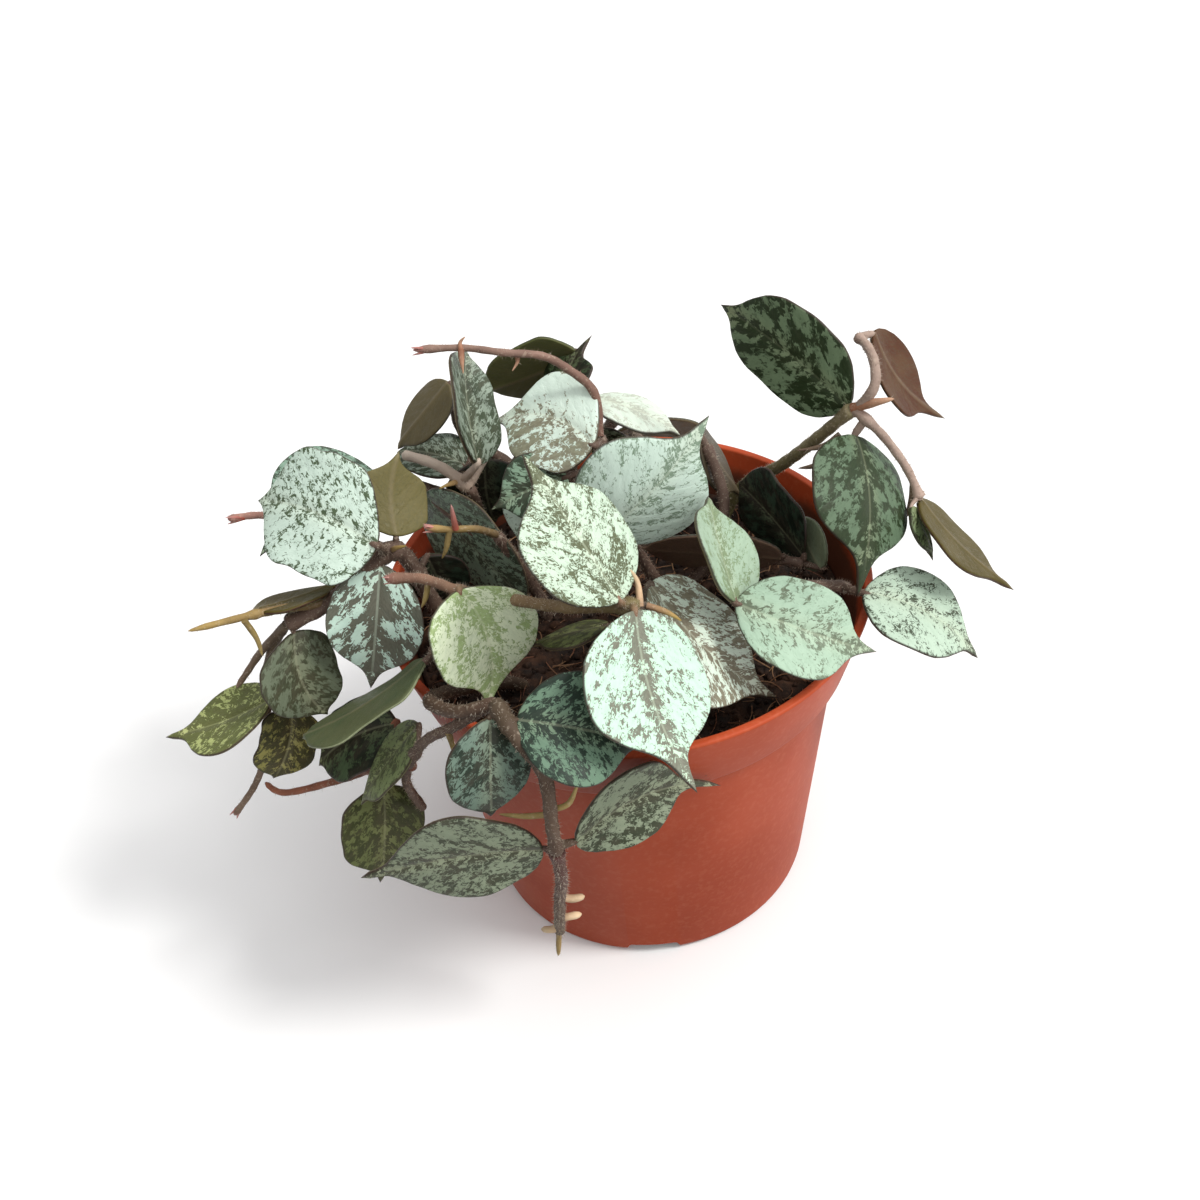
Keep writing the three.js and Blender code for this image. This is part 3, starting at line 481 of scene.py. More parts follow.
@dataclass
class Leaf:
    """A round, succulent blade with a drip tip, finer than the frame's and of the same form."""

    base: Point
    tip: Point
    width: float
    azimuth: float
    elevation: float
    arch: float = 0.05
    cup: float = 0.0
    sway: float = 0.0
    drip_tip: float = 0.2
    fullness: float = 0.0
    tone: LeafTone = LeafTone.MINT

    thickness: float = 1.1
    edge_thickness: float = 0.62
    rows: int = 44
    columns: int = 21
    vein_slope: float = 0.9
    groove_depth: float = 0.22
    groove_width: float = 0.55
    wave_height: float = 0.22
    wave_length: float = 14.0
    ripple: float = 0.008
    ripple_rate: float = 15.0
    wave_lag: float = 0.6
    rib_share: float = 0.8
    row_spread: float = 1.2
    column_spread: float = 1.25
    thinning: float = 1.6
    rim_most: float = 0.6
    plumpness_most: float = 1.5
    half_least: float = 0.12
    lean_sharpness: float = 4.0
    pattern_stride: float = 13.7

    OUTLINE = np.array([
        [0, 0], [0.012, 0.2], [0.05, 0.44], [0.12, 0.7], [0.22, 0.9], [0.36, 1], [0.5, 0.98],
        [0.62, 0.86], [0.72, 0.62], [0.79, 0.36], [0.84, 0.19], [0.89, 0.11], [0.95, 0.055], [1, 0],
    ])
    TIP_START = 0.8
    FULL_START = 0.5
    FULL_END = 0.96
    FULL_BASE = 0.36
    FULL_BASE_SHARE = 0.4
    RIM_ANGLES = (30, 60, 90)

    def outline_share(self, shares: np.ndarray) -> np.ndarray:
        """Gives half of the blade's width at shares of its length, as a share of the most."""
        last = len(self.OUTLINE) - 1
        index = np.clip(np.searchsorted(self.OUTLINE[:, 0], shares) - 1, 0, last - 1)
        start, end = self.OUTLINE[index], self.OUTLINE[index + 1]
        before = self.OUTLINE[np.maximum(index - 1, 0)]
        after = self.OUTLINE[np.minimum(index + 2, last)]
        t = (shares - start[:, 0]) / (end[:, 0] - start[:, 0])
        plain = smooth_step(before[:, 1], start[:, 1], end[:, 1], after[:, 1], t)
        return np.maximum(plain + self.fullness * self.bulge(shares), 0)

    def bulge(self, shares: np.ndarray) -> np.ndarray:
        """Gives where a full blade is wider than a plain one: towards its tip and, less, at its base."""
        tip = np.clip((shares - self.FULL_START) / (self.FULL_END - self.FULL_START), 0, 1)
        base = np.clip(shares / self.FULL_BASE, 0, 1)
        return np.sin(math.pi * tip) ** 2 + self.FULL_BASE_SHARE * np.sin(math.pi * base) ** 2

    def place_along(self, shares: np.ndarray) -> np.ndarray:
        """Stretches or shortens the drip tip to its own share of the length."""
        middle = 0.5 + (shares - 0.5) * (0.5 - self.drip_tip) / (self.TIP_START - 0.5)
        end = 1 - self.drip_tip * (1 - shares) / (1 - self.TIP_START)
        return np.where(shares <= 0.5, shares, np.where(shares <= self.TIP_START, middle, end))

    def frame(self) -> tuple[np.ndarray, np.ndarray, np.ndarray, float]:
        """Gives the directions along the blade, out of its upper face and to its side, and its length."""
        chord = np.array(self.tip, dtype=float) - np.array(self.base, dtype=float)
        along = unit(chord)
        face = direction(self.azimuth, self.elevation)
        face = unit(face - along * face.dot(along))
        return along, face, np.cross(along, face), float(np.linalg.norm(chord))

    def section(self, half: float) -> tuple[np.ndarray, np.ndarray]:
        """Gives a cross-section's places across it and its half thickness there.

        Args:
            half: Half of the blade's width at this row.

        Returns:
            The shares across, from one margin to the other, and the half thickness at each.
        """
        rim = min(self.edge_thickness / 2 / half, self.rim_most)
        spread = np.linspace(-1, 1, self.columns)
        inner = np.sign(spread) * np.abs(spread) ** self.column_spread * (1 - rim)
        angles = np.radians(self.RIM_ANGLES)
        outer = 1 - rim + rim * np.sin(angles)
        across = np.concatenate([-outer[::-1], inner, outer])
        plump = 1 - np.abs(across) ** self.thinning
        thick = self.edge_thickness + (self.thickness - self.edge_thickness) * plump
        thick = np.minimum(thick, self.plumpness_most * half) / 2
        fade = np.ones_like(across)
        fade[:len(angles)] = np.cos(angles)[::-1]
        fade[-len(angles):] = np.cos(angles)
        return across, thick * fade

    def add_to(self, parts: MeshParts, seed: int) -> None:
        """Builds the blade as one closed body and adds it.

        Args:
            parts: The mesh that the blade goes into.
            seed: The leaf's own number, for its waves and its pattern.
        """
        along, face, side, length = self.frame()
        draw = np.random.default_rng(seed)
        turns = draw.uniform(0, 2 * math.pi, 4)
        shares = np.linspace(0, 1, self.rows) ** self.row_spread
        reach_most = self.outline_share(shares) * self.width / 2
        place = self.place_along(shares)
        rows = []
        for share, spot, half in zip(shares[1:-1], place[1:-1], reach_most[1:-1]):
            ripple = 1 + self.ripple * math.sin(self.ripple_rate * share + turns[0])
            half = max(half * ripple, self.half_least)
            across, thick = self.section(half)
            reach = across * half
            hump = 4 * spot * (1 - spot) * length
            phase = 2 * math.pi * (spot * length + self.wave_lag * np.abs(reach)) / self.wave_length
            wave = self.wave_height * np.sin(phase + turns[2] + np.sign(reach))
            wave = wave * (reach / (self.width / 2)) ** 2
            vein = np.exp(-(reach / self.groove_width) ** 2) * min(1.0, half / 2)
            lift = self.arch * hump + self.cup * reach ** 2 / (self.width / 2) + wave
            middle = (np.array(self.base) + along * spot * length)[None, :] \
                + lift[:, None] * face + (self.sway * hump + reach)[:, None] * side
            over = middle + face * (thick - self.groove_depth * vein)[:, None]
            under = middle - face * (thick + self.groove_depth * self.rib_share * vein)[:, None]
            line = spot * length - self.vein_slope * np.abs(reach)
            margin = half - np.abs(reach)
            for points, below in ((over, 0.0), (under[1:-1][::-1], 1.0)):
                pick = slice(None) if below == 0.0 else slice(-2, 0, -1)
                rows.append((points, reach[pick], line[pick], margin[pick], share, below))
        base = np.array(self.base, dtype=float)
        tip = np.array(self.tip, dtype=float)
        points = np.concatenate([r[0] for r in rows] + [base[None], tip[None]])
        reach = np.concatenate([r[1] for r in rows] + [[0.0, 0.0]])
        line = np.concatenate([r[2] for r in rows] + [[0.0, length]])
        margin = np.concatenate([r[3] for r in rows] + [[0.0, 0.0]])
        share = np.concatenate([np.full(len(r[1]), r[4]) for r in rows] + [[0.0, 1.0]])
        below = np.concatenate([np.full(len(r[1]), r[5]) for r in rows] + [[0.5, 0.5]])
        ring = len(across) * 2 - 2
        look = self.tone.value
        total = len(points)
        cover = look.cover + look.lean * np.tanh(self.lean_sharpness * reach / self.width)
        parts.add(points, skin_faces(self.rows - 2, ring), {
            "leaf_place": np.stack([reach, line, np.full(total, self.pattern_stride * seed)], axis=1),
            "leaf_form": np.stack([margin, share, below, np.abs(reach)], axis=1),
            "leaf_pale": np.column_stack([colour_rows(look.pale, total)[:, :3], cover]),
            "leaf_dark": colour_rows(look.dark, total, look.band),
            "leaf_back": colour_rows(look.back, total, look.stretch),
            "leaf_rim": colour_rows(look.rim, total, look.grain),
            "leaf_marks": np.tile([look.blotch, look.rib, look.brown, look.soft], (total, 1)),
        })


@dataclass
class Stem:
    """A stem, a side shoot or a tendril."""

    radius: float
    points: list[Point]
    finish: StemFinish = StemFinish.BARK
    end: StemEnd = StemEnd.JOINED

    step: float = 0.7
    taper: float = 0.86
    point_taper: float = 0.55
    bud_taper: float = 0.7
    node_swelling: float = 0.3
    node_length: float = 1.3
    bud_swelling: float = 0.4
    bud_middle: float = 2.2
    bud_length: float = 1.2
    bud_tip: float = 2.6
    bud_least: float = 0.004
    point_tip: float = 3.0
    point_least: float = 0.01
    end_tip: float = 0.8
    end_least: float = 0.1
    unevenness: float = 0.05
    unevenness_rate: float = 1.9
    bud_colour: str = "C4867E"
    bud_colour_reach: float = 1.6

    def radii(self, shares: np.ndarray, length: float, nodes: list[float]) -> np.ndarray:
        """Gives the stem's radius along it, with a swelling at each node.

        Args:
            shares: Places along the stem, from 0 to 1.
            length: The stem's length.
            nodes: The places that leaves grow from, from 0 to 1.

        Returns:
            The radius at each place.
        """
        left = (1 - shares) * length
        tapers = {StemEnd.JOINED: self.taper, StemEnd.POINT: self.point_taper, StemEnd.BUD: self.bud_taper}
        radius = self.radius * (1 + (tapers[self.end] - 1) * shares)
        for node in nodes:
            gap = (shares - node) * length / self.node_length
            radius = radius * (1 + self.node_swelling * np.exp(-gap ** 2))
        if self.end is StemEnd.BUD:
            gap = (left - self.bud_middle) / self.bud_length
            radius = radius * (1 + self.bud_swelling * np.exp(-gap ** 2))
            return radius * np.sqrt(np.clip(left / self.bud_tip, self.bud_least, 1))
        if self.end is StemEnd.POINT:
            return radius * np.sqrt(np.clip(left / self.point_tip, self.point_least, 1))
        return radius * np.sqrt(np.clip(left / self.end_tip + self.end_least, 0, 1))

    def add_to(self, parts: MeshParts, seed: int, nodes: list[float]) -> None:
        """Adds the stem's path, with its radius, colour and hairiness at each point."""
        curve = SmoothCurve(self.points)
        length = curve.length()
        count = max(8, round(length / self.step))
        shares = np.linspace(0, 1, count + 1)
        draw = np.random.default_rng(seed)
        radius = self.radii(shares, length, nodes)
        ripple = np.sin(shares * length * self.unevenness_rate + draw.uniform(0, 6))
        radius = radius * (1 + self.unevenness * ripple)
        tone = self.finish.value
        start, end = np.array(shade(tone.start)), np.array(shade(tone.end))
        colour = start + (end - start) * shares[:, None]
        if self.end is StemEnd.BUD:
            near = np.exp(-((1 - shares) * length / self.bud_colour_reach) ** 2)[:, None]
            colour = colour + (np.array(shade(self.bud_colour)) - colour) * near
        rows = np.concatenate([colour, np.ones((count + 1, 1))], axis=1)
        parts.add(curve.at(shares), [[i, i + 1] for i in range(count)], {
            "stem_radius": radius * MM,
            "stem_colour": rows,
            "stem_fuzz": np.full(count + 1, tone.fuzz),
        })


@dataclass
class StemTubes:
    """The Geometry Nodes that turn paths into round, hairy stems."""

    sides: int = 12
    hair_length: float = 0.62
    hair_radius: float = 0.034
    hairs_per_square_mm: float = 4.0
    hair_lean: float = 0.5
    hair_sizes: tuple[float, float] = (0.45, 1.15)
    seed: int = 4
    tree: bpy.types.NodeTree = field(init=False)

    def __post_init__(self) -> None:
        """Builds the tree with its named inputs."""
        t = new_shape_tree("stem tubes", {
            "Paths": "Geometry", "Sides": "Int", "Hair length": "Float", "Hair radius": "Float",
            "Hair density": "Float", "Hair lean": "Float", "Skin": "Material", "Hair": "Material"},
            "Stems")
        tree = t.tree
        given = t.add("NodeGroupInput").outputs
        radius = t.add("GeometryNodeInputNamedAttribute", {"Name": "stem_radius"}, data_type="FLOAT")
        fuzz = t.add("GeometryNodeInputNamedAttribute", {"Name": "stem_fuzz"}, data_type="FLOAT")
        path = t.add("GeometryNodeMeshToCurve", {"Mesh": given["Paths"]})
        ring = t.add("GeometryNodeCurvePrimitiveCircle", {"Resolution": given["Sides"], "Radius": 1.0})
        tube = t.add("GeometryNodeCurveToMesh", {
            "Curve": path.outputs[0], "Profile Curve": ring.outputs[0],
            "Scale": radius.outputs[0], "Fill Caps": True})
        smooth = t.add("GeometryNodeSetShadeSmooth", {"Geometry": tube.outputs[0]})
        dressed = t.add("GeometryNodeSetMaterial", {"Geometry": smooth.outputs[0], "Material": given["Skin"]})
        spots = t.add("GeometryNodeDistributePointsOnFaces", {
            "Mesh": tube.outputs[0], "Density": t.math("MULTIPLY", given["Hair density"], fuzz.outputs[0]),
            "Seed": self.seed})
        hair = t.add("GeometryNodeMeshCone", {
            "Vertices": 3, "Radius Top": 0.0, "Radius Bottom": given["Hair radius"],
            "Depth": given["Hair length"]})
        lean = t.add("FunctionNodeRandomValue", {"Seed": self.seed + 1}, data_type="FLOAT_VECTOR")
        lean.inputs[0].default_value = (-1, -1, -1)
        lean.inputs[1].default_value = (1, 1, 1)
        scaled = t.add("ShaderNodeVectorMath", {0: lean.outputs[0]}, operation="SCALE")
        tree.links.new(given["Hair lean"], scaled.inputs["Scale"])
        way = t.vector("ADD", spots.outputs["Normal"], scaled.outputs[0])
        turn = t.add("FunctionNodeAlignRotationToVector", {"Vector": way}, axis="Z")
        hairs = t.place_copies(spots, hair, turn.outputs[0], self.hair_sizes, self.seed + 2, given["Hair"])
        both = t.add("GeometryNodeJoinGeometry")
        tree.links.new(hairs, both.inputs[0])
        tree.links.new(dressed.outputs[0], both.inputs[0])
        t.add("NodeGroupOutput", {0: both.outputs[0]})
        self.tree = tree

    def apply(self, obj: bpy.types.Object, skin: bpy.types.Material, hair: bpy.types.Material) -> None:
        """Turns an object's paths into the finished stems."""
        apply_nodes(obj, self.tree, {
            "Sides": self.sides,
            "Hair length": self.hair_length * MM,
            "Hair radius": self.hair_radius * MM,
            "Hair density": self.hairs_per_square_mm / MM ** 2,
            "Hair lean": self.hair_lean,
            "Skin": skin,
            "Hair": hair,
        })


def apply_nodes(obj: bpy.types.Object, tree: bpy.types.NodeTree, values: dict[str, object]) -> None:
    """Runs a Geometry Nodes tree on an object and keeps the result as its plain mesh.

    Args:
        obj: The object.
        tree: The tree.
        values: The tree's inputs, by their names.
    """
    modifier = obj.modifiers.new("shape", "NODES")
    modifier.node_group = tree
    for item in tree.interface.items_tree:
        if item.item_type == "SOCKET" and item.in_out == "INPUT" and item.name in values:
            modifier[item.identifier] = values[item.name]
    bake_shape(obj)


def bake_shape(obj: bpy.types.Object) -> None:
    """Keeps an object's evaluated shape as its plain mesh, without modifiers."""
    graph = bpy.context.evaluated_depsgraph_get()
    mesh = bpy.data.meshes.new_from_object(obj.evaluated_get(graph), depsgraph=graph)
    obj.modifiers.clear()
    obj.data = mesh


@dataclass(frozen=True)
class BladeFinish:
    """The waxy, flecked surface of every leaf, tinted by the leaf's own look."""

    roughness: float = 0.5
    shine: float = 0.24
    fleck_scale: float = 1.7
    patch_scale: float = 0.34
    warp_scale: float = 1.3
    warp_reach: float = 1.9
    row_spacing: float = 2.9
    rim_width: float = 0.24
    bare_level: float = 0.655
    cover_reach: float = 0.31
    rib_darkening: float = 0.16
    sharp_blur: float = 0.022
    soft_blur: float = 0.07
    row_darkening: float = 0.022
    margin_darkening: float = 0.045
    vein_height: float = 0.06
    ground_depth: float = 0.03
    grain_height: float = 0.08
    cream: str = "E6E2BC"
    brown: str = "6A594C"
    dull: str = "9FB3A4"
    warm: str = "C9C296"
    deeper: str = "A8A8A8"
    back_speckle: str = "3F4A36"
    back_patch: str = "8A7C58"
    back_rib: str = "9A8A70"

    def material(self) -> bpy.types.Material:
        """Makes the material."""
        material, t, surface = new_material("leaf blade")
        place = t.attribute("leaf_place", "Vector")
        pale, dark, back, rim, form, marks = (
            t.add("ShaderNodeAttribute", attribute_name=f"leaf_{name}").outputs
            for name in ("pale", "dark", "back", "rim", "form", "marks"))
        margin, share, below = t.add("ShaderNodeSeparateColor", {0: form["Color"]}).outputs
        offset = form["Alpha"]
        blotch, rib, brown = t.add("ShaderNodeSeparateColor", {0: marks["Color"]}).outputs
        bent = self.warped(t, place)
        axes = t.add("ShaderNodeSeparateXYZ", {0: bent}).outputs
        across = t.math("DIVIDE", axes[0], t.math("MULTIPLY", back["Alpha"], rim["Alpha"]))
        straight = t.step(back["Alpha"], 1.0, 2.0, Leaf.vein_slope, 0.0)
        line = t.math("ADD", axes[1], t.math("MULTIPLY", offset, straight))
        line = t.math("DIVIDE", line, rim["Alpha"])
        flecks = t.noise(t.add("ShaderNodeCombineXYZ", {0: across, 1: line, 2: axes[2]}).outputs[0],
                         self.fleck_scale, 2.4, 0.8)
        patches = t.noise(place, self.patch_scale, 2.0, 0.5, 0.5)
        near_rib = t.step(offset, 0.2, 3.2, 1.0, 0.0)
        level = self.level(t, flecks, patches, blotch, axes, margin)
        band = t.math("MULTIPLY", t.math("MULTIPLY", near_rib, dark["Alpha"]), self.rib_darkening)
        level = t.math("ADD", level, band)
        limit = t.math("SUBTRACT", self.bare_level, t.math("MULTIPLY", pale["Alpha"], self.cover_reach))
        blur = t.math("ADD", t.math("MULTIPLY", marks["Alpha"], self.soft_blur), self.sharp_blur)
        ground = t.step(t.math("DIVIDE", t.math("SUBTRACT", level, limit), blur), -1.0, 1.0)
        film = self.film(t, place, pale["Color"], share, near_rib)
        deep = self.deep(t, place, dark["Color"], brown, near_rib)
        upper = t.mix(ground, film, deep)
        middle = t.math("MULTIPLY", t.step(offset, 0.1, 0.3, 1.0, 0.0), t.step(share, 0.7, 0.95, 1.0, 0.0))
        light = t.mix(0.35, pale["Color"], shade(self.cream))
        upper = t.mix(t.math("MULTIPLY", middle, rib), upper, light)
        lower = self.underside(t, place, back["Color"], offset)
        edge = t.step(margin, 0.0, self.rim_width, 0.9, 0.0)
        upper = t.mix(edge, upper, rim["Color"])
        colour = t.mix(t.step(below, 0.3, 0.7), upper, lower)
        rough = t.step(ground, 0.0, 1.0, self.roughness + 0.04, self.roughness - 0.06)
        height = self.relief(t, axes, ground, flecks, offset)
        t.set_surface(surface, colour, rough, self.shine, {"Height": height, "Distance": MM, "Strength": 0.8})
        return material

    def warped(self, t: Tree, place: bpy.types.NodeSocket) -> bpy.types.NodeSocket:
        """Bends the pattern's place, so that its flecks curl and clump."""
        stir = t.add("ShaderNodeTexNoise", {"Vector": place, "Scale": self.warp_scale, "Detail": 1.0})
        shift = t.vector("SUBTRACT", stir.outputs["Color"], (0.5, 0.5, 0.5))
        reach = (self.warp_reach, self.warp_reach, 0.0)
        return t.vector("ADD", place, t.vector("MULTIPLY", shift, reach))

    def level(self, t: Tree, flecks: bpy.types.NodeSocket, patches: bpy.types.NodeSocket,
              blotch: bpy.types.NodeSocket, axes: bpy.types.NodeOutputs,
              margin: bpy.types.NodeSocket) -> bpy.types.NodeSocket:
        """Gives how dark each place tends to be, from the flecks, their patches, the veins and the margin."""
        gathered = t.math("MULTIPLY", t.math("SUBTRACT", patches, 0.5), blotch)
        rows = t.math("SINE", t.math("MULTIPLY", axes[1], 2 * math.pi / self.row_spacing))
        level = t.math("ADD", t.math("ADD", flecks, gathered), t.math("MULTIPLY", rows, self.row_darkening))
        return t.math("ADD", level, t.step(margin, 0.1, 1.1, self.margin_darkening, 0.0))

    def film(self, t: Tree, place: bpy.types.NodeSocket, pale: bpy.types.NodeSocket,
             share: bpy.types.NodeSocket, near_rib: bpy.types.NodeSocket) -> bpy.types.NodeSocket:
        """Gives the silvery film, cloudy in the open blade and creamier near the midrib and the tip."""
        cloud = t.noise(place, 0.8, 3.0, 0.65)
        dull = t.mix(0.5, pale, shade(self.dull), "MULTIPLY")
        cloudy = t.mix(t.step(cloud, 0.4, 0.68, 0.0, 0.3), pale, dull)
        at_tip = t.step(share, 0.72, 1.0, 0.0, 0.3)
        warm = t.math("ADD", t.math("MULTIPLY", near_rib, 0.16), at_tip, clamp=True)
        return t.mix(warm, cloudy, t.mix(0.6, pale, shade(self.warm)))

    def deep(self, t: Tree, place: bpy.types.NodeSocket, dark: bpy.types.NodeSocket,
             brown: bpy.types.NodeSocket, near_rib: bpy.types.NodeSocket) -> bpy.types.NodeSocket:
        """Gives the dark ground, which turns from green to brown in places and near the midrib."""
        turn = t.math("ADD", t.noise(place, 0.55, 2.0, 0.5), t.math("MULTIPLY", near_rib, 0.2))
        share = t.math("MULTIPLY", t.step(turn, 0.42, 0.7), brown)
        tinted = t.mix(share, dark, t.mix(0.5, dark, shade(self.brown)))
        deeper = t.step(t.noise(place, 1.9, 2.0, 0.6), 0.4, 0.65, 0.0, 0.3)
        return t.mix(deeper, tinted, t.mix(1.0, tinted, shade(self.deeper), "MULTIPLY"))

    def underside(self, t: Tree, place: bpy.types.NodeSocket, back: bpy.types.NodeSocket,
                  offset: bpy.types.NodeSocket) -> bpy.types.NodeSocket:
        """Gives the colour of the leaf's lower side, with its faint speckle and paler rib."""
        speckle = t.step(t.noise(place, 2.2, 3.0, 0.6), 0.4, 0.68, 0.0, 0.35)
        mottled = t.mix(speckle, back, t.mix(0.6, back, shade(self.back_speckle)))
        soft = t.mix(t.step(t.noise(place, 0.25, 1.0), 0.35, 0.7, 0.0, 0.2), mottled,
                     t.mix(0.5, back, shade(self.back_patch)))
        return t.mix(t.step(offset, 0.1, 0.7, 0.22, 0.0), soft, shade(self.back_rib))

    def relief(self, t: Tree, axes: bpy.types.NodeOutputs, ground: bpy.types.NodeSocket,
               fine: bpy.types.NodeSocket, offset: bpy.types.NodeSocket) -> bpy.types.NodeSocket:
        """Gives the height of the faint side veins, the film and the skin's grain, in millimetres."""
        wave = t.math("SINE", t.math("MULTIPLY", axes[1], math.pi / self.row_spacing))
        veins = t.math("MULTIPLY", t.math("POWER", t.math("ABSOLUTE", wave), 0.5), self.vein_height)
        veins = t.math("MULTIPLY", veins, t.step(offset, 0.2, 1.5))
        height = t.math("ADD", veins, t.math("MULTIPLY", ground, -self.ground_depth))
        return t.math("ADD", height, t.math("MULTIPLY", fine, self.grain_height))


@dataclass(frozen=True)
class SkinFinish:
    """The dull, slightly ribbed skin of stems, stalks and rootlets."""

    roughness: float = 0.62
    shine: float = 0.3
    relief: float = 0.18
    dark: str = "4A3A34"
    pale: str = "C9BBA6"

    def material(self) -> bpy.types.Material:
        """Makes the material."""
        material, t, surface = new_material("stem skin")
        place = t.object_place()
        base = t.attribute("stem_colour")
        spots = t.noise(place, 1400.0, 3.0, 0.6)
        patches = t.noise(place, 260.0, 2.0, 0.5)
        colour = t.mix(t.step(patches, 0.35, 0.7, 0.0, 0.55), base, t.mix(0.55, base, shade(self.dark)))
        colour = t.mix(t.step(spots, 0.56, 0.68, 0.0, 0.55), colour, t.mix(0.5, base, shade(self.pale)))
        rough = t.step(patches, 0.3, 0.7, self.roughness - 0.1, self.roughness + 0.1)
        t.set_surface(surface, colour, rough, self.shine,
                      {"Height": spots, "Distance": self.relief * MM, "Strength": 0.9})
        return material


@dataclass(frozen=True)
class HairFinish:
    """The fine, pale hairs on the stems."""

    pale: str = "CFC4B2"
    tan: str = "9C8672"
    roughness: float = 0.8

    def material(self) -> bpy.types.Material:
        """Makes the material."""
        material, t, surface = new_material("stem hair")
        place = t.object_place()
        tint = t.mix(t.step(t.noise(place, 300.0, 1.0), 0.3, 0.7), shade(self.pale), shade(self.tan))
        t.set_surface(surface, tint, self.roughness)
        return material


@dataclass
class Shoot:
    """One leafy stem as it grew: its stems, rootlets, leaf stalks and leaves."""

    name: str
    stems: list[Stem]
    rootlets: list[Stem]
    leaves: list[Leaf]

    scale_turns: tuple[float, ...] = (20, 140, 260)
    scale_radius: float = 0.42
    scale_foot: float = 2.9
    scale_belly: float = 1.3
    scale_belly_reach: float = 0.5
    scale_tip: float = 0.2
    scale_tip_reach: float = 0.85
    scale_upright: Point = (0.2, 0.3, 1.0)
    stalk_radius: float = 0.78
    stalk_sink: float = 1.4
    stalk_fineness: float = 16.0
    samples: int = 24

    def nearest(self, place: np.ndarray) -> tuple[np.ndarray, int, float]:
        """Finds the point inside the stems, short of their ends, closest to a place.

        Args:
            place: The place.

        Returns:
            The point, the number of its stem and its share along it.
        """
        best = (np.zeros(3), 0, 0.0)
        least = math.inf
        shares = np.linspace(0, 1, self.samples + 1)[1:-1]
        for number, stem in enumerate(self.stems):
            points = SmoothCurve(stem.points).at(shares)
            gaps = np.linalg.norm(points - place, axis=1)
            if gaps.min() < least:
                least = gaps.min()
                index = int(gaps.argmin())
                best = (points[index], number, float(shares[index]))
        return best

    def build_leaves(self, first: int, blade: bpy.types.Material) -> bpy.types.Object:
        """Builds the blades as one mesh."""
        parts = MeshParts()
        for number, leaf in enumerate(self.leaves):
            leaf.add_to(parts, first + number)
        obj = parts.build(f"{self.name}_leaves")
        obj.data.materials.append(blade)
        return obj

    def build_stems(self, first: int, tubes: StemTubes, skin: bpy.types.Material,
                    hair: bpy.types.Material) -> bpy.types.Object:
        """Builds the stems, rootlets and leaf stalks as one mesh."""
        parts = MeshParts()
        nodes: list[list[float]] = [[] for _ in self.stems]
        stalks = []
        for leaf in self.leaves:
            start, number, share = self.nearest(np.array(leaf.base, dtype=float))
            nodes[number].append(share)
            along, face, _, _ = leaf.frame()
            into = unit(along + 4 * leaf.arch * face)
            base = np.array(leaf.base, dtype=float)
            radius = min(self.stalk_radius, leaf.width / self.stalk_fineness)
            finish = self.stems[number].finish
            stalks.append(Stem(radius, [start, base, base + into * self.stalk_sink], finish,
                               StemEnd.POINT))
        for number, stem in enumerate(self.stems):
            stem.add_to(parts, first + number, nodes[number])
            if stem.end is StemEnd.BUD:
                stalks += self.scales(stem)
        for number, stem in enumerate(self.rootlets + stalks):
            stem.add_to(parts, first + SMALL_STEM_SEEDS + number, [])
        obj = parts.build(f"{self.name}_stems", edges=True)
        tubes.apply(obj, skin, hair)
        return obj

    def scales(self, stem: Stem) -> list[Stem]:
        """Gives the small, pointed scales that stand round the bud at a stem's tip."""
        before, tip = (np.array(point, dtype=float) for point in stem.points[-2:])
        way = unit(tip - before)
        side = unit(np.cross(way, self.scale_upright))
        up = np.cross(side, way)
        scales = []
        for turn in self.scale_turns:
            out = side * math.cos(math.radians(turn)) + up * math.sin(math.radians(turn))
            path = [tip - way * self.scale_foot,
                    tip - way * self.scale_belly + out * self.scale_belly_reach,
                    tip + way * self.scale_tip + out * self.scale_tip_reach]
            scales.append(Stem(self.scale_radius, path, StemFinish.BUD_PINK, StemEnd.POINT))
        return scales

    def dress(self, first: int, tubes: StemTubes, blade: bpy.types.Material, skin: bpy.types.Material,
              hair: bpy.types.Material) -> None:
        """Builds the shoot's pieces and lets them stand for its node."""
        for obj in (self.build_leaves(first, blade), self.build_stems(first, tubes, skin, hair)):
            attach(obj, "root")
            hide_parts(self.name)
            LOG.info("%s has %d faces", obj.name, len(obj.data.polygons))


def root(*points: Point, finish: StemFinish = StemFinish.ROOT_TAN) -> Stem:
    """Makes an aerial rootlet."""
    return Stem(ROOTLET_RADIUS, list(points), finish, StemEnd.POINT)


def peg(*points: Point) -> Stem:
    """Makes a blunt, cream aerial rootlet."""
    return Stem(PEG_RADIUS, list(points), StemFinish.ROOT_CREAM, StemEnd.JOINED)


def stem(radius: float, *points: Point, finish: StemFinish = StemFinish.BARK,
         end: StemEnd = StemEnd.JOINED) -> Stem:
    """Makes a stem."""
    return Stem(radius, list(points), finish, end)


def leaf(tone: LeafTone, base: Point, tip: Point, width: float, azimuth: float, elevation: float,
         arch: float = 0.05, cup: float = 0.0, sway: float = 0.0, drip_tip: float = 0.2,
         fullness: float = 0.0) -> Leaf:
    """Makes a leaf."""
    return Leaf(base, tip, width, azimuth, elevation, arch, cup, sway, drip_tip, fullness, tone)


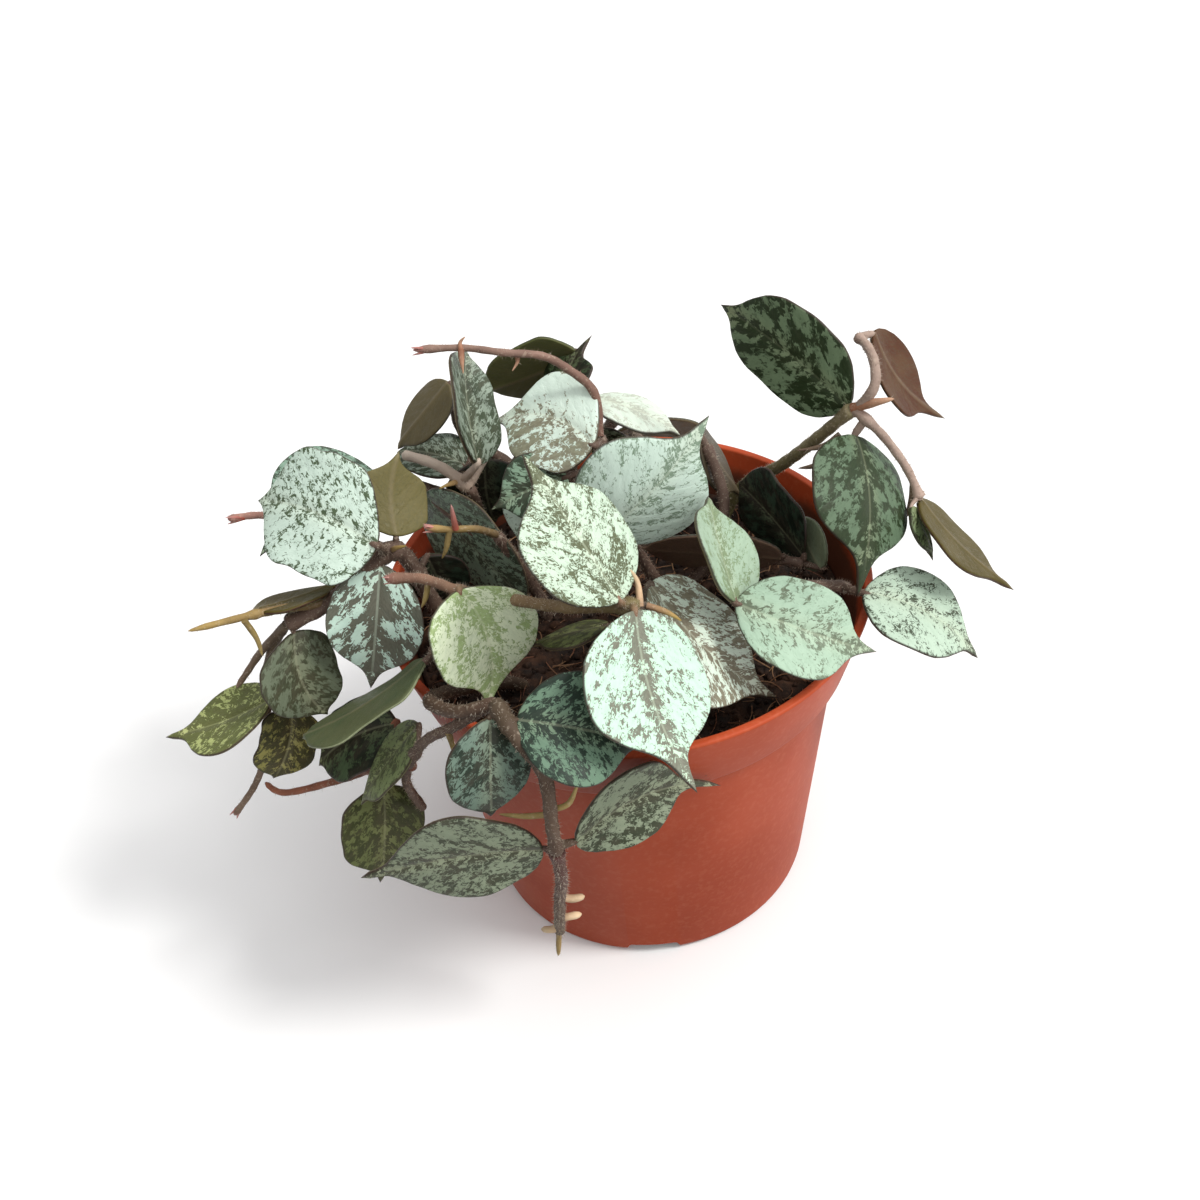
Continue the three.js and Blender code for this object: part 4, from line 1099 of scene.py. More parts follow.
def right_top() -> Shoot:
    """The tall stem at the right."""
    return Shoot("shoot_right_top", [
        stem(1.2, (20, 24, 48), (20, 24, 57), (24, 23, 66), (30, 16, 75), (35, 9, 85), (40, 5, 93),
             finish=StemFinish.OLIVE_TO_PINK),
        stem(0.9, (40, 5, 92), (43, 4, 97), (44, 8, 99), (44, 14, 99), (43, 17, 99),
             finish=StemFinish.PINK_GREY),
        stem(0.8, (40, 5, 93), (44, 1, 90), (48, -1, 84), (50, -3, 79), finish=StemFinish.PINK_GREY),
        stem(0.9, (40, 5, 93), (43, 3, 95), (46, 2, 96), finish=StemFinish.BRACT, end=StemEnd.POINT),
    ], [
        root((38, 5, 88), (35, 5, 86), (31, 6, 85), finish=StemFinish.TENDRIL),
        root((37, 4, 87), (34, 3, 84), (31, 5, 82), finish=StemFinish.TENDRIL),
        root((49, -2, 81), (48, -3, 76), (44, -4, 75), finish=StemFinish.TENDRIL),
    ], [
        leaf(LeafTone.CAMOUFLAGE, (40, 7, 92), (21, 24, 104), 17.2, -130, 5, 0.08, 0, 0.1, 0.15, 0.15),
        leaf(LeafTone.CAMOUFLAGE_PALE, (40, 3, 89), (36.5, -18, 72), 22, -55, 20, 0.14, -0.15, 0.04, 0.25),
        leaf(LeafTone.UNDER_RED, (46, 19, 98), (59, 16, 81), 15, 154, -44, 0.06, -0.16, -0.1, 0.28),
        leaf(LeafTone.UNDER_OLIVE, (50, -2, 78), (64, -14, 66), 16, 180, -45, 0.02, -0.04, -0.13, 0.23),
        leaf(LeafTone.UNDER_DARK, (48, -5, 79), (51, -10, 71), 7, -20, 20, 0.04, -0.1),
    ])


def right_front() -> Shoot:
    """The stem at the front right."""
    return Shoot("shoot_right_front", [
        stem(1.2, (23, -12, 48), (23, -12, 58), (20, -17, 68), (18, -20, 76)),
        stem(1.0, (18, -20, 76), (22, -19, 76), (30, -15, 73), (37, -11, 68), finish=StemFinish.BARK),
    ], [
        root((24, -19, 76), (25, -16, 72), (27, -15, 69)),
    ], [
        leaf(LeafTone.SILVER_DOTTED, (38, -16, 71), (56, -23, 60), 18, -30, 60, 0.09, 0, -0.05, 0.18),
        leaf(LeafTone.MINT, (16, -24, 79), (38, -27, 68), 15, -65, 45, 0.17, 0.15, 0.07, 0.25, 0.08),
        leaf(LeafTone.MINT_CLEAR, (16, -24, 79), (14, -9, 89), 18, -10, 34, 0.07, 0.22, -0.2, 0.17),
    ])


def front() -> Shoot:
    """The stem at the front, with the brightest leaf."""
    return Shoot("shoot_front", [
        stem(1.3, (3, -14, 48), (3, -14, 58), (2, -21, 72), (1, -29, 85), finish=StemFinish.FUZZY),
        stem(1.1, (1, -29, 85), (-5, -28, 85), (-11, -26, 84), (-20, -20, 82), (-26, -21, 85), (-32, -18, 86),
             (-38, -17, 86), finish=StemFinish.OLIVE_TO_BROWN, end=StemEnd.BUD),
    ], [
        root((1, -29, 85), (1, -27, 88), (0, -26, 90), finish=StemFinish.ROOT_CREAM),
        root((2, -29, 85), (5, -30, 84), (7, -30, 82), finish=StemFinish.ROOT_TAN),
        root((-31, -18, 86), (-32, -19, 83), (-33, -19, 81), finish=StemFinish.ROOT_YELLOW),
    ], [
        leaf(LeafTone.SILVER_FLECKED, (-2, -31, 88), (-14, -16, 106), 22, -29, 45, 0.06, -0.04, -0.06, 0.25),
        # This leaf's tone is lightened as painted light.
        leaf(LeafTone.LIT_FRESH_GREEN, (-26, -24, 88), (-25, -30, 67), 19, -54, 20, 0.02, 0, -0.13, 0.25, 0.1),
        leaf(LeafTone.BRIGHT_SILVER, (0, -32, 87), (6, -54, 70), 24, -30, 45, -0.05, 0, 0.05, 0.25),
        # This leaf's tone is partly lightened as painted light.
        leaf(LeafTone.LIT_STREAKED_BROWN, (3, -18, 79.5), (22, -27.5, 60.5), 23, -18, 48, 0.07, 0.04, 0.19, 0.23),
        leaf(LeafTone.OLIVE_FLECKED, (-4, -24, 77), (-17, -22, 73), 12, 115, 60, 0.02, -0.05),
    ])


def hanging_front() -> Shoot:
    """The stem that comes over the front rim and hangs down outside the pot."""
    return Shoot("shoot_hanging_front", [
        stem(1.2, (-20, -15, 48), (-20, -15, 58), (-30, -24, 67), (-33, -31, 72), (-28, -38, 76),
             (-22, -40, 79), finish=StemFinish.HANGING),
        stem(1.2, (-22, -40, 79), (-19, -46, 77), (-16, -47, 70), (-16, -48, 59), (-16, -47, 52),
             finish=StemFinish.HANGING),
        stem(1.1, (-16, -47, 52), (-16, -46, 44), (-17, -44, 36), (-18, -43, 26), finish=StemFinish.COLLAR),
        stem(0.7, (-17, -44, 36), (-18, -43, 27), (-19, -42, 18), finish=StemFinish.YOUNG,
             end=StemEnd.POINT),
        stem(0.9, (-22, -40, 79), (-29, -38, 73), (-35, -34, 66), (-40, -29, 53), (-39, -26, 42)),
        stem(0.9, (-38, -31, 58), (-46, -24, 51), (-53, -20, 45), (-64, -17, 40), (-68, -14, 40),
             finish=StemFinish.RED_BROWN, end=StemEnd.POINT),
    ], [
        peg((-17, -44, 37), (-15, -44, 36), (-13, -43, 35)),
        peg((-17, -43, 30), (-16, -43, 30), (-14, -42, 29)),
        peg((-18, -43, 28), (-19, -43, 27), (-21, -42, 26)),
        root((-16, -47, 61), (-20, -46, 60), (-24, -45, 60), finish=StemFinish.ROOT_YELLOW),
        root((-16, -47, 62), (-13, -47, 63), (-11, -46, 67), finish=StemFinish.ROOT_YELLOW),
        root((-16, -47, 71), (-12, -47, 68), (-11, -46, 69)),
        root((-30, -38, 72), (-30, -37, 68), (-29, -39, 63), finish=StemFinish.ROOT_YELLOW),
    ], [
        leaf(LeafTone.TEAL_DARK, (-19, -44, 79), (0, -43, 69), 17, -55, 45, 0.13, 0.1, 0, 0.22),
        leaf(LeafTone.TEAL_FLECKED, (-23, -42, 78), (-25, -47, 62), 14, -65, 10, 0.15, 0, 0.07, 0.14),
        leaf(LeafTone.GREY_MINT, (-13, -47, 54), (11, -39, 54), 17, -80, 0, 0.03, 0.18, -0.23, 0.3, -0.1),
        leaf(LeafTone.GREY_MINT, (-18, -46, 52), (-47, -47, 51), 21, -90, -5, 0.04, 0.07, 0.12, 0.19, -0.12),
        leaf(LeafTone.LEAF_GREEN, (-36, -28, 64), (-48, -31, 50), 11, -175, 41, 0.02, 0, 0, 0.16, 0.1),
        leaf(LeafTone.DARK_GREEN, (-41, -20, 57), (-56, -20, 49), 14, -135, 60, 0.08, 0, 0.05, 0.12, 0.2),
        leaf(LeafTone.OLIVE_FLECKED, (-45, -25, 48), (-48, -33, 32), 16, -50, 25, 0.05, 0, 0, 0.2, 0.15),
    ])


def low_left() -> Shoot:
    """A short stem over the left rim."""
    return Shoot("shoot_low_left", [
        stem(1.4, (-24, -11, 48), (-24, -11, 58), (-28, -15, 68), (-32, -22, 74)),
    ], [
        root((-30, -18, 71), (-31, -19, 67), (-31, -21, 64), finish=StemFinish.ROOT_CREAM),
    ], [
        leaf(LeafTone.UNDER_GREEN, (-33, -26, 76), (-54, -31, 67), 14, -34, -55, 0.05, 0.05, 0.02, 0.06,
             0.35),
    ])


def left() -> Shoot:
    """The stem that reaches furthest to the left, with long bare tendrils."""
    return Shoot("shoot_left", [
        stem(1.5, (-31, -4, 48), (-31, -4, 58), (-34, -4, 72), (-38, -5, 82), (-49, -9, 76), (-57, -10, 73)),
        stem(0.8, (-57, -10, 73), (-63, -8, 66), (-67, -8, 61), (-69, -9, 59), finish=StemFinish.TENDRIL,
             end=StemEnd.POINT),
        stem(0.8, (-57, -10, 73), (-63, -7, 62), (-67, -9, 45), (-71, -10, 36), (-77, -10, 28),
             finish=StemFinish.TENDRIL, end=StemEnd.BUD),
        stem(0.8, (-38, -5, 82), (-50, 3, 83), (-60, 6, 84), (-66, 6, 84), finish=StemFinish.PINK_BROWN,
             end=StemEnd.BUD),
        stem(0.9, (-50, -9, 76), (-57, -12, 78), (-62, -14, 79), (-71, -16, 79), finish=StemFinish.YOUNG,
             end=StemEnd.POINT),
    ], [
        root((-62, -15, 79), (-61, -15, 75), (-61, -15, 71), finish=StemFinish.ROOT_YELLOW),
        root((-38, -5, 82), (-37, -7, 84), (-35, -8, 85)),
    ], [
        leaf(LeafTone.SILVER_LIT, (-39, -11, 88), (-59, 2, 90), 20, -120, 40, 0.1, 0.05, 0.08, 0.16, 0.25),
        leaf(LeafTone.UNDER_GOLD, (-37, -4, 84), (-35, 6, 94), 13, 125, -45, 0.05, 0, 0.08, 0.22, 0.12),
        leaf(LeafTone.TURQUOISE_BROWN, (-40, -7, 81), (-45, -15, 61), 16, -95, 25, 0.14, 0.2, -0.03, 0.22,
             0.03),
        leaf(LeafTone.GREY_OLIVE, (-56, -11, 72), (-53, -16, 57), 14, -55, 25, 0.08, 0.04, 0.15, 0.12, 0.15),
        leaf(LeafTone.YELLOW_GREEN, (-62, -14, 60), (-82, -14, 54), 17, 160, 75, -0.03, 0.06, -0.04, 0.23),
        leaf(LeafTone.OLIVE_STREAKED, (-60, -12, 56), (-65, -18, 45), 11, -60, 10, 0.06, 0, -0.06, 0.1, 0.3),
        leaf(LeafTone.UNDER_OLIVE, (-61, -12, 78), (-47, -4, 76), 12, -75, -65, 0.03, -0.05),
        # A very dark leaf set over the rim where only shade shows: painted shade.
        leaf(LeafTone.SHADED_DARK, (-33, -1, 77), (-31, 2, 64), 11, -90, 20, 0.05, 0, 0, 0.15, 0.1),
    ])


def middle() -> Shoot:
    """The stem with the pink buds."""
    return Shoot("shoot_middle", [
        stem(1.2, (-15, 4, 48), (-15, 4, 58), (-18, 2, 70), (-21, 0, 79)),
        stem(0.7, (-21, 0, 79), (-24, -3, 83), (-28, -5, 85), (-32, -5, 86), finish=StemFinish.YOUNG,
             end=StemEnd.BUD),
        stem(0.9, (-16, 3, 66), (-21, 4, 72), (-28, 8, 77), (-33, 14, 79)),
    ], [
        root((-28, -5, 85), (-29, -6, 82), (-30, -6, 80), finish=StemFinish.ROOT_YELLOW),
        Stem(0.55, [(-27, -5, 85), (-27, -5, 88), (-27, -5, 90)], StemFinish.BUD_PINK, StemEnd.POINT),
    ], [
        leaf(LeafTone.STREAKED_GREEN, (-33, 13, 80), (-17, 1, 62), 22, -130, -5, 0.03, 0.03, -0.02, 0.1),
    ])


def top() -> Shoot:
    """The stem with the top leaves and the bare tip at the upper left."""
    return Shoot("shoot_top", [
        stem(1.2, (-1, 6, 48), (-1, 6, 58), (-2, 8, 76), (-2, 8, 91)),
        stem(0.8, (-2, 8, 91), (-2, 12, 97), (-6, 14, 101), (-10, 14, 104), (-16, 13, 106), (-23, 16, 106),
             (-31, 17, 106), finish=StemFinish.PINK_GREY_DARK, end=StemEnd.BUD),
    ], [
        root((-14, 14, 105), (-14, 13, 104), (-15, 12, 103), finish=StemFinish.BRACT),
        root((-23, 15, 106), (-23, 13, 105), (-23, 12, 103.5), finish=StemFinish.BRACT),
        root((-23, 15, 106), (-23, 16, 107), (-22, 16, 108), finish=StemFinish.BRACT),
    ], [
        leaf(LeafTone.SILVER_BROWN, (-3, 4, 92), (-20, 17, 90), 18, -136, 57, 0.03, 0, 0.14, 0.21, 0.12),
        leaf(LeafTone.SHADED_STREAKED, (-8, 6, 85), (-21.5, 3, 82), 12, -100, 20, 0.04, 0, 0.05, 0.2),
        leaf(LeafTone.SILVER_SOFT, (-11, 10, 83), (-18, 3, 72), 12, -110, 35, 0.04),
    ])


def centre() -> Shoot:
    """The stem with the large pale leaf at the middle."""
    return Shoot("shoot_centre", [
        stem(1.2, (8, 0, 48), (8, 0, 58), (4, -3, 70), (0, -6, 82)),
        stem(1.1, (8, 0, 60), (15, 5, 64), (19, 12, 71), (17, 19, 79)),
        stem(0.9, (15, 5, 64), (23, 1, 67), (31, -1, 66)),
    ], [], [
        leaf(LeafTone.SILVER_SOFT, (-4, -11, 85), (15, -7, 103), 23, -80, 0, 0.08, -0.15, 0, 0.24),
        leaf(LeafTone.SHADED_DARK, (31, -1, 68), (22, 14, 74), 15, -150, 5, 0.05, 0, 0.1, 0.1, 0.3),
        leaf(LeafTone.UNDER_GREY, (34, -3, 66), (31, 7, 72), 10, 25, -10, 0, -0.06, 0.05, 0.19),
        leaf(LeafTone.UNDER_BROWN, (16, 22, 80), (23, 20, 66), 13, 170, -25, 0.04, 0.04, 0, 0.17),
        leaf(LeafTone.UNDER_PLUM, (27, -2, 69), (3, 1, 72), 18, 80, 30, 0.03, -0.05, 0.06, 0.08),
    ])


def back_left() -> Shoot:
    """A stem at the back left."""
    return Shoot("shoot_back_left", [
        stem(1.2, (-22, 16, 48), (-22, 16, 58), (-24, 13, 72), (-25, 10, 82)),
        stem(1.0, (-25, 10, 82), (-30, 12, 86), (-36, 15, 87), finish=StemFinish.CREAM_PINK),
        stem(0.9, (-24, 13, 74), (-32, 20, 75), (-41, 23, 77)),
    ], [
        root((-26, 11, 83), (-28, 9, 84), (-30, 8, 84)),
    ], [
        leaf(LeafTone.GREEN_GREY, (-23, 8, 88), (-23, 25, 100), 16, -15, 17, 0.08, 0.25, -0.26, 0.11, 0.1),
        leaf(LeafTone.SHADED_MINT, (-42, 23, 77), (-65, 14, 69), 20, -110, 40, 0.04, 0, 0.1, 0.23),
        # A very dark leaf set in a gap where only shade shows: painted shade.
        leaf(LeafTone.SHADED_DARK, (-22, 15, 84), (-22, 15, 70), 14, -90, 20, 0.04, 0, 0.05, 0.15),
    ])


def back() -> Shoot:
    """The stem at the back, with small leaves."""
    return Shoot("shoot_back", [
        stem(1.2, (-10, 24, 48), (-10, 24, 58), (-18, 28, 72), (-26, 29, 80), (-27, 29, 90)),
        stem(1.1, (-10, 24, 60), (-7, 29, 72), (-5, 30, 84), (-4, 33, 90)),
    ], [], [
        leaf(LeafTone.UNDER_UMBER, (-27, 28, 92), (-38, 24, 82), 14, 15, -50, 0, 0, 0, 0.14),
        leaf(LeafTone.UNDER_MOSS, (-4, 34, 92), (-22, 36, 85), 18, 90, 25, 0.04, 0, 0.1, 0.1, 0.1),
        leaf(LeafTone.DARK_GREEN, (-8, 25, 88), (-1, 34, 95), 11, -155, 55, 0.02, 0.03, -0.07, 0.36),
        leaf(LeafTone.GREEN_GREY, (-26, 22, 78), (-39, 29, 78), 12, -90, 85, 0.08, 0.04, 0, 0.09),
        leaf(LeafTone.GREY_MINT, (-3, 32, 76), (3, 36, 70), 8, -85, -30, 0.15, 0.05),
        leaf(LeafTone.WHITE_SILVER, (-2, 30, 84), (13, 24, 78), 14, 10, 65, 0.06, -0.05, 0, 0.16),
    ])


def rear() -> Shoot:
    """A trailing stem over the rear rim."""
    return Shoot("shoot_rear", [
        stem(1.3, (8, 24, 48), (8, 24, 58), (6, 34, 68), (4, 42, 71), (0, 47, 65), (-4, 46, 52), (-9, 42, 36),
             finish=StemFinish.FUZZY),
    ], [
        root((-2, 47, 58), (-1, 49, 55), (1, 49, 52)),
        root((-5, 45, 48), (-8, 46, 46), (-9, 46, 43)),
    ], [
        leaf(LeafTone.SILVER_FLECKED, (2, 48, 64), (22, 51, 52), 20, 70, 25, 0.06, 0, 0.05),
        leaf(LeafTone.GREY_MINT, (-3, 48, 60), (-22, 52, 50), 19, 110, 25, 0.06, 0, -0.05),
        leaf(LeafTone.SILVER_BROWN, (-4, 47, 48), (15, 47, 34), 20, 80, 15, 0.08, 0, 0, 0.24),
        leaf(LeafTone.SHADED_MINT, (-8, 45, 44), (-29, 41, 33), 20, 115, 15, 0.07),
        leaf(LeafTone.OLIVE_FLECKED, (-9, 43, 35), (-7, 45, 11), 20, 95, 10, 0.06, 0, 0.06, 0.22),
    ])


SHOOTS = (right_top, right_front, front, hanging_front, low_left, left, middle, top, centre, back_left,
          back, rear)


def lathe(name: str, profile: list[tuple[float, float]], segments: int) -> bpy.types.Object:
    """Turns a profile that starts and ends on the axis into a closed body.

    Args:
        name: The object's name.
        profile: Radius and height of each point, from the bottom's middle to the top's.
        segments: The number of steps round the axis.

    Returns:
        The object, in metres.
    """
    inner = profile[1:-1]
    turns = 2 * math.pi * np.arange(segments) / segments
    rings = [np.stack([r * np.cos(turns), r * np.sin(turns), np.full(segments, z)], axis=1) for r, z in inner]
    points = np.concatenate(rings + [np.array([[0, 0, profile[0][1]], [0, 0, profile[-1][1]]])])
    parts = MeshParts()
    parts.add(points, skin_faces(len(inner), segments), {})
    return parts.build(name)


def round_corner(before: tuple[float, float], corner: tuple[float, float], after: tuple[float, float],
                 radius: float, steps: int = 4) -> list[tuple[float, float]]:
    """Rounds one corner of a profile.

    Args:
        before: The profile's point before the corner.
        corner: The corner.
        after: The profile's point after it.
        radius: How far from the corner the rounding starts.
        steps: The number of steps in the rounding.

    Returns:
        The points that take the corner's place.
    """
    start_way = unit(np.subtract(before, corner))
    end_way = unit(np.subtract(after, corner))
    start = np.array(corner) + start_way * radius
    end = np.array(corner) + end_way * radius
    points = []
    for i in range(steps + 1):
        t = i / steps
        points.append(tuple((1 - t) ** 2 * start + 2 * t * (1 - t) * np.array(corner) + t ** 2 * end))
    return points


@dataclass(frozen=True)
class PlasticFinish:
    """Moulded terracotta-coloured plastic with a satin skin and a little dirt.

    The wall inside the rim is darker from the soil up, fading out below the lip with a wavy edge. A cone
    within the wall's thickness keeps the darkening off its outer side.
    """

    colour: str = "BC4E2A"
    deep: str = "9E3E20"
    roughness: float = 0.5
    shine: float = 0.2
    relief: float = 0.05
    scuff_and_highlight: str = "D88A68"
    dusty: str = "6B4A3A"
    wall_dark: str = "3E2E22"
    wall_dark_start: float = 54.6
    wall_dark_full: float = 55.2
    wall_dark_foot: float = 61.5
    wall_dark_top: float = 64.6
    cone_foot: float = 54.1
    cone_foot_radius: float = 38.2
    cone_top_radius: float = 41.65
    cone_blur: float = 0.1
    wall_dark_wander: float = 3.0
    wall_dark_strength: float = 0.85

    def material(self) -> bpy.types.Material:
        """Makes the material."""
        material, t, surface = new_material("terracotta plastic")
        place = t.object_place()
        cloud = t.noise(place, 22.0, 3.0, 0.5)
        grain = t.noise(place, 900.0, 2.0, 0.6)
        colour = t.mix(t.step(cloud, 0.3, 0.7), shade(self.colour), shade(self.deep))
        # Pale specks: partly scuffs, partly painted highlight.
        colour = t.mix(t.step(grain, 0.45, 0.75, 0.0, 0.12), colour, shade(self.scuff_and_highlight))
        dust = t.step(t.noise(place, 160.0, 4.0, 0.7), 0.66, 0.8, 0.0, 0.25)
        colour = t.mix(dust, colour, shade(self.dusty))
        # Darker inside the rim, from the soil up to below the lip.
        colour = t.mix(self.wall_darkening(t, place), colour, shade(self.wall_dark))
        rough = t.step(cloud, 0.3, 0.7, self.roughness - 0.05, self.roughness + 0.07)
        t.set_surface(surface, colour, rough, self.shine,
                      {"Height": grain, "Distance": self.relief * MM, "Strength": 0.5})
        return material

    def wall_darkening(self, t: Tree, place: bpy.types.NodeSocket) -> bpy.types.NodeSocket:
        """Gives how much the wall inside the rim is darkened, most near the soil and fading out below the
        lip.
        """
        flat = t.vector("MULTIPLY", place, (1.0, 1.0, 0.0))
        reach = t.add("ShaderNodeVectorMath", {0: flat}, operation="LENGTH").outputs["Value"]
        height = t.add("ShaderNodeSeparateXYZ", {0: place}).outputs[2]
        slope = (self.cone_top_radius - self.cone_foot_radius) / (self.wall_dark_top - self.cone_foot)
        over = t.math("MULTIPLY", t.math("SUBTRACT", height, self.cone_foot * MM), slope)
        cone = t.math("ADD", over, self.cone_foot_radius * MM)
        blur = self.cone_blur * MM
        inner = t.step(t.math("SUBTRACT", reach, cone), -blur, blur, 1.0, 0.0)
        inner = t.math("MULTIPLY", inner, t.step(height, self.wall_dark_start * MM, self.wall_dark_full * MM))
        wander = t.math("MULTIPLY", t.noise(place, 180.0, 3.0, 0.6), self.wall_dark_wander * MM)
        rise = self.wall_dark_wander / 2
        low = t.step(t.math("ADD", height, wander), (self.wall_dark_foot + rise) * MM,
                     (self.wall_dark_top + rise) * MM, self.wall_dark_strength, 0.0)
        return t.math("MULTIPLY", inner, low)


@dataclass
class Pot:
    """The moulded nursery pot: a tapered body, a rim band, a rolled lip and drain notches."""

    rim_radius: float = 42.5
    height: float = 66.7
    lip_foot: float = 65.9
    lip_bead: float = 0.3
    lip_bevel: float = 0.4
    shoulder_top: float = 53.9
    shoulder_bottom: float = 52.3
    band_foot_radius: float = 38.9
    body_top_radius: float = 36.6
    base_radius: float = 30.6
    base_bevel: float = 1.6
    wall: float = 1.3
    inside_rise: float = 0.2
    floor_thickness: float = 1.6
    segments: int = 168
    notch_count: int = 4
    notch_width_foot: float = 10.6
    notch_width_top: float = 8.6
    notch_height: float = 2.4
    notch_inner: float = 24.5
    notch_outer: float = 34.0
    notch_start: float = -94.0
    notch_overrun: float = 1.0
    notch_rounding: float = 0.5
    sharp_angle: float = 40.0

    def body_radius(self, height: float) -> float:
        """Gives the outer radius at a height under the shoulder."""
        return self.base_radius + (self.body_top_radius - self.base_radius) * height / self.shoulder_bottom

    def band_inside(self, height: float) -> float:
        """Gives the radius inside the band at a height."""
        low = self.shoulder_top + self.inside_rise
        share = (height - low) / (self.lip_foot - low)
        edge = self.rim_radius - self.lip_bead - self.lip_bevel
        return self.band_foot_radius + (edge - self.band_foot_radius) * share - self.wall

    def profile(self) -> list[tuple[float, float]]:
        """Gives the wall's profile with its corners rounded."""
        corners = [
            ((self.base_radius, 0.0), self.base_bevel),
            ((self.body_top_radius, self.shoulder_bottom), 0.5),
            ((self.band_foot_radius, self.shoulder_top), 0.7),
            ((self.rim_radius, self.height), 0.75),
            ((self.rim_radius - self.wall - self.lip_bead, self.height), 0.35),
            ((self.band_foot_radius - self.wall, self.shoulder_top + self.inside_rise), 0.6),
            ((self.body_top_radius - self.wall, self.shoulder_bottom + self.inside_rise), 0.5),
            ((self.body_radius(self.floor_thickness) - self.wall, self.floor_thickness), 0.8),
        ]
        points = [(0.0, 0.0)]
        spots = [(0.0, 0.0)] + [c[0] for c in corners] + [(0.0, self.floor_thickness)]
        for i, (corner, radius) in enumerate(corners):
            points += round_corner(spots[i], corner, spots[i + 2], radius)
        return points + [(0.0, self.floor_thickness)]

    def notch(self, index: int) -> bpy.types.Object:
        """Makes the wedge that cuts one drain notch."""
        slope = (self.notch_width_foot - self.notch_width_top) / 2 / self.notch_height
        low = self.notch_width_foot / 2 + self.notch_overrun * slope
        top = self.notch_width_top / 2
        outline = [(-low, -self.notch_overrun), (low, -self.notch_overrun)]
        outline += round_corner((low, 0), (top, self.notch_height), (0, self.notch_height),
                                self.notch_rounding)
        outline += round_corner((0, self.notch_height), (-top, self.notch_height), (-low, 0),
                                self.notch_rounding)
        turn = math.radians(self.notch_start + 360 * index / self.notch_count)
        out = np.array([math.cos(turn), math.sin(turn), 0])
        side = np.array([-math.sin(turn), math.cos(turn), 0])
        points = np.array([out * reach + side * x + np.array([0, 0, z])
                           for reach in (self.notch_inner, self.notch_outer) for x, z in outline])
        count = len(outline)
        faces = [[i, (i + 1) % count, count + (i + 1) % count, count + i] for i in range(count)]
        faces += [list(range(count))[::-1], list(range(count, 2 * count))]
        parts = MeshParts()
        parts.add(points, faces, {})
        cutter = parts.build(f"notch_{index}")
        fix_normals(cutter.data)
        return cutter

    def dress(self, plastic: bpy.types.Material) -> None:
        """Builds the pot and lets it stand for its node."""
        obj = lathe("pot_moulded", self.profile(), self.segments)
        fix_normals(obj.data)
        cutters = [self.notch(i) for i in range(self.notch_count)]
        for cutter in cutters:
            cut = obj.modifiers.new("notch", "BOOLEAN")
            cut.operation = "DIFFERENCE"
            cut.solver = "EXACT"
            cut.object = cutter
        bake_shape(obj)
        for cutter in cutters:
            bpy.data.objects.remove(cutter)
        obj.data.shade_smooth()
        obj.data.set_sharp_from_angle(angle=math.radians(self.sharp_angle))
        obj.data.materials.clear()
        obj.data.materials.append(plastic)
        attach(obj, "root")
        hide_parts("pot")
        LOG.info("%s has %d faces", obj.name, len(obj.data.polygons))


def fix_normals(mesh: bpy.types.Mesh) -> None:
    """Turns a closed mesh's faces outwards."""
    work = bmesh.new()
    work.from_mesh(mesh)
    bmesh.ops.recalc_face_normals(work, faces=work.faces)
    work.to_mesh(mesh)
    work.free()


@dataclass(frozen=True)
class SoilFinish:
    """Moist, dark potting soil, its colours darkened further as painted shade."""

    # The soil's own dark browns, darkened further as painted shade.
    dark: str = "1C120C"
    brown: str = "4A3224"
    crumb: str = "5A4230"
    moist: float = 0.72
    dry: float = 0.95
    shine: float = 0.3
    relief: float = 0.8

    def material(self) -> bpy.types.Material:
        """Makes the material."""
        material, t, surface = new_material("potting soil")
        place = t.object_place()
        lumps = t.noise(place, 260.0, 4.0, 0.65)
        grain = t.noise(place, 1300.0, 3.0, 0.6)
        colour = t.mix(t.step(lumps, 0.35, 0.7), shade(self.dark), shade(self.brown))
        colour = t.mix(t.step(grain, 0.6, 0.75, 0.0, 0.6), colour, shade(self.crumb))
        rough = t.step(lumps, 0.3, 0.7, self.moist, self.dry)
        height = t.math("ADD", lumps, t.math("MULTIPLY", grain, 0.4))
        t.set_surface(surface, colour, rough, self.shine,
                      {"Height": height, "Distance": self.relief * MM, "Strength": 0.9})
        return material


@dataclass(frozen=True)
class CoirFinish:
    """Reddish-brown coir fibres."""

    red: str = "6E3F28"
    tan: str = "8C6A4A"
    roughness: float = 0.7

    def material(self) -> bpy.types.Material:
        """Makes the material."""
        material, t, surface = new_material("coir fibre")
        place = t.object_place()
        tint = t.step(t.noise(place, 120.0, 2.0), 0.35, 0.65)
        t.set_surface(surface, t.mix(tint, shade(self.red), shade(self.tan)), self.roughness)
        return material


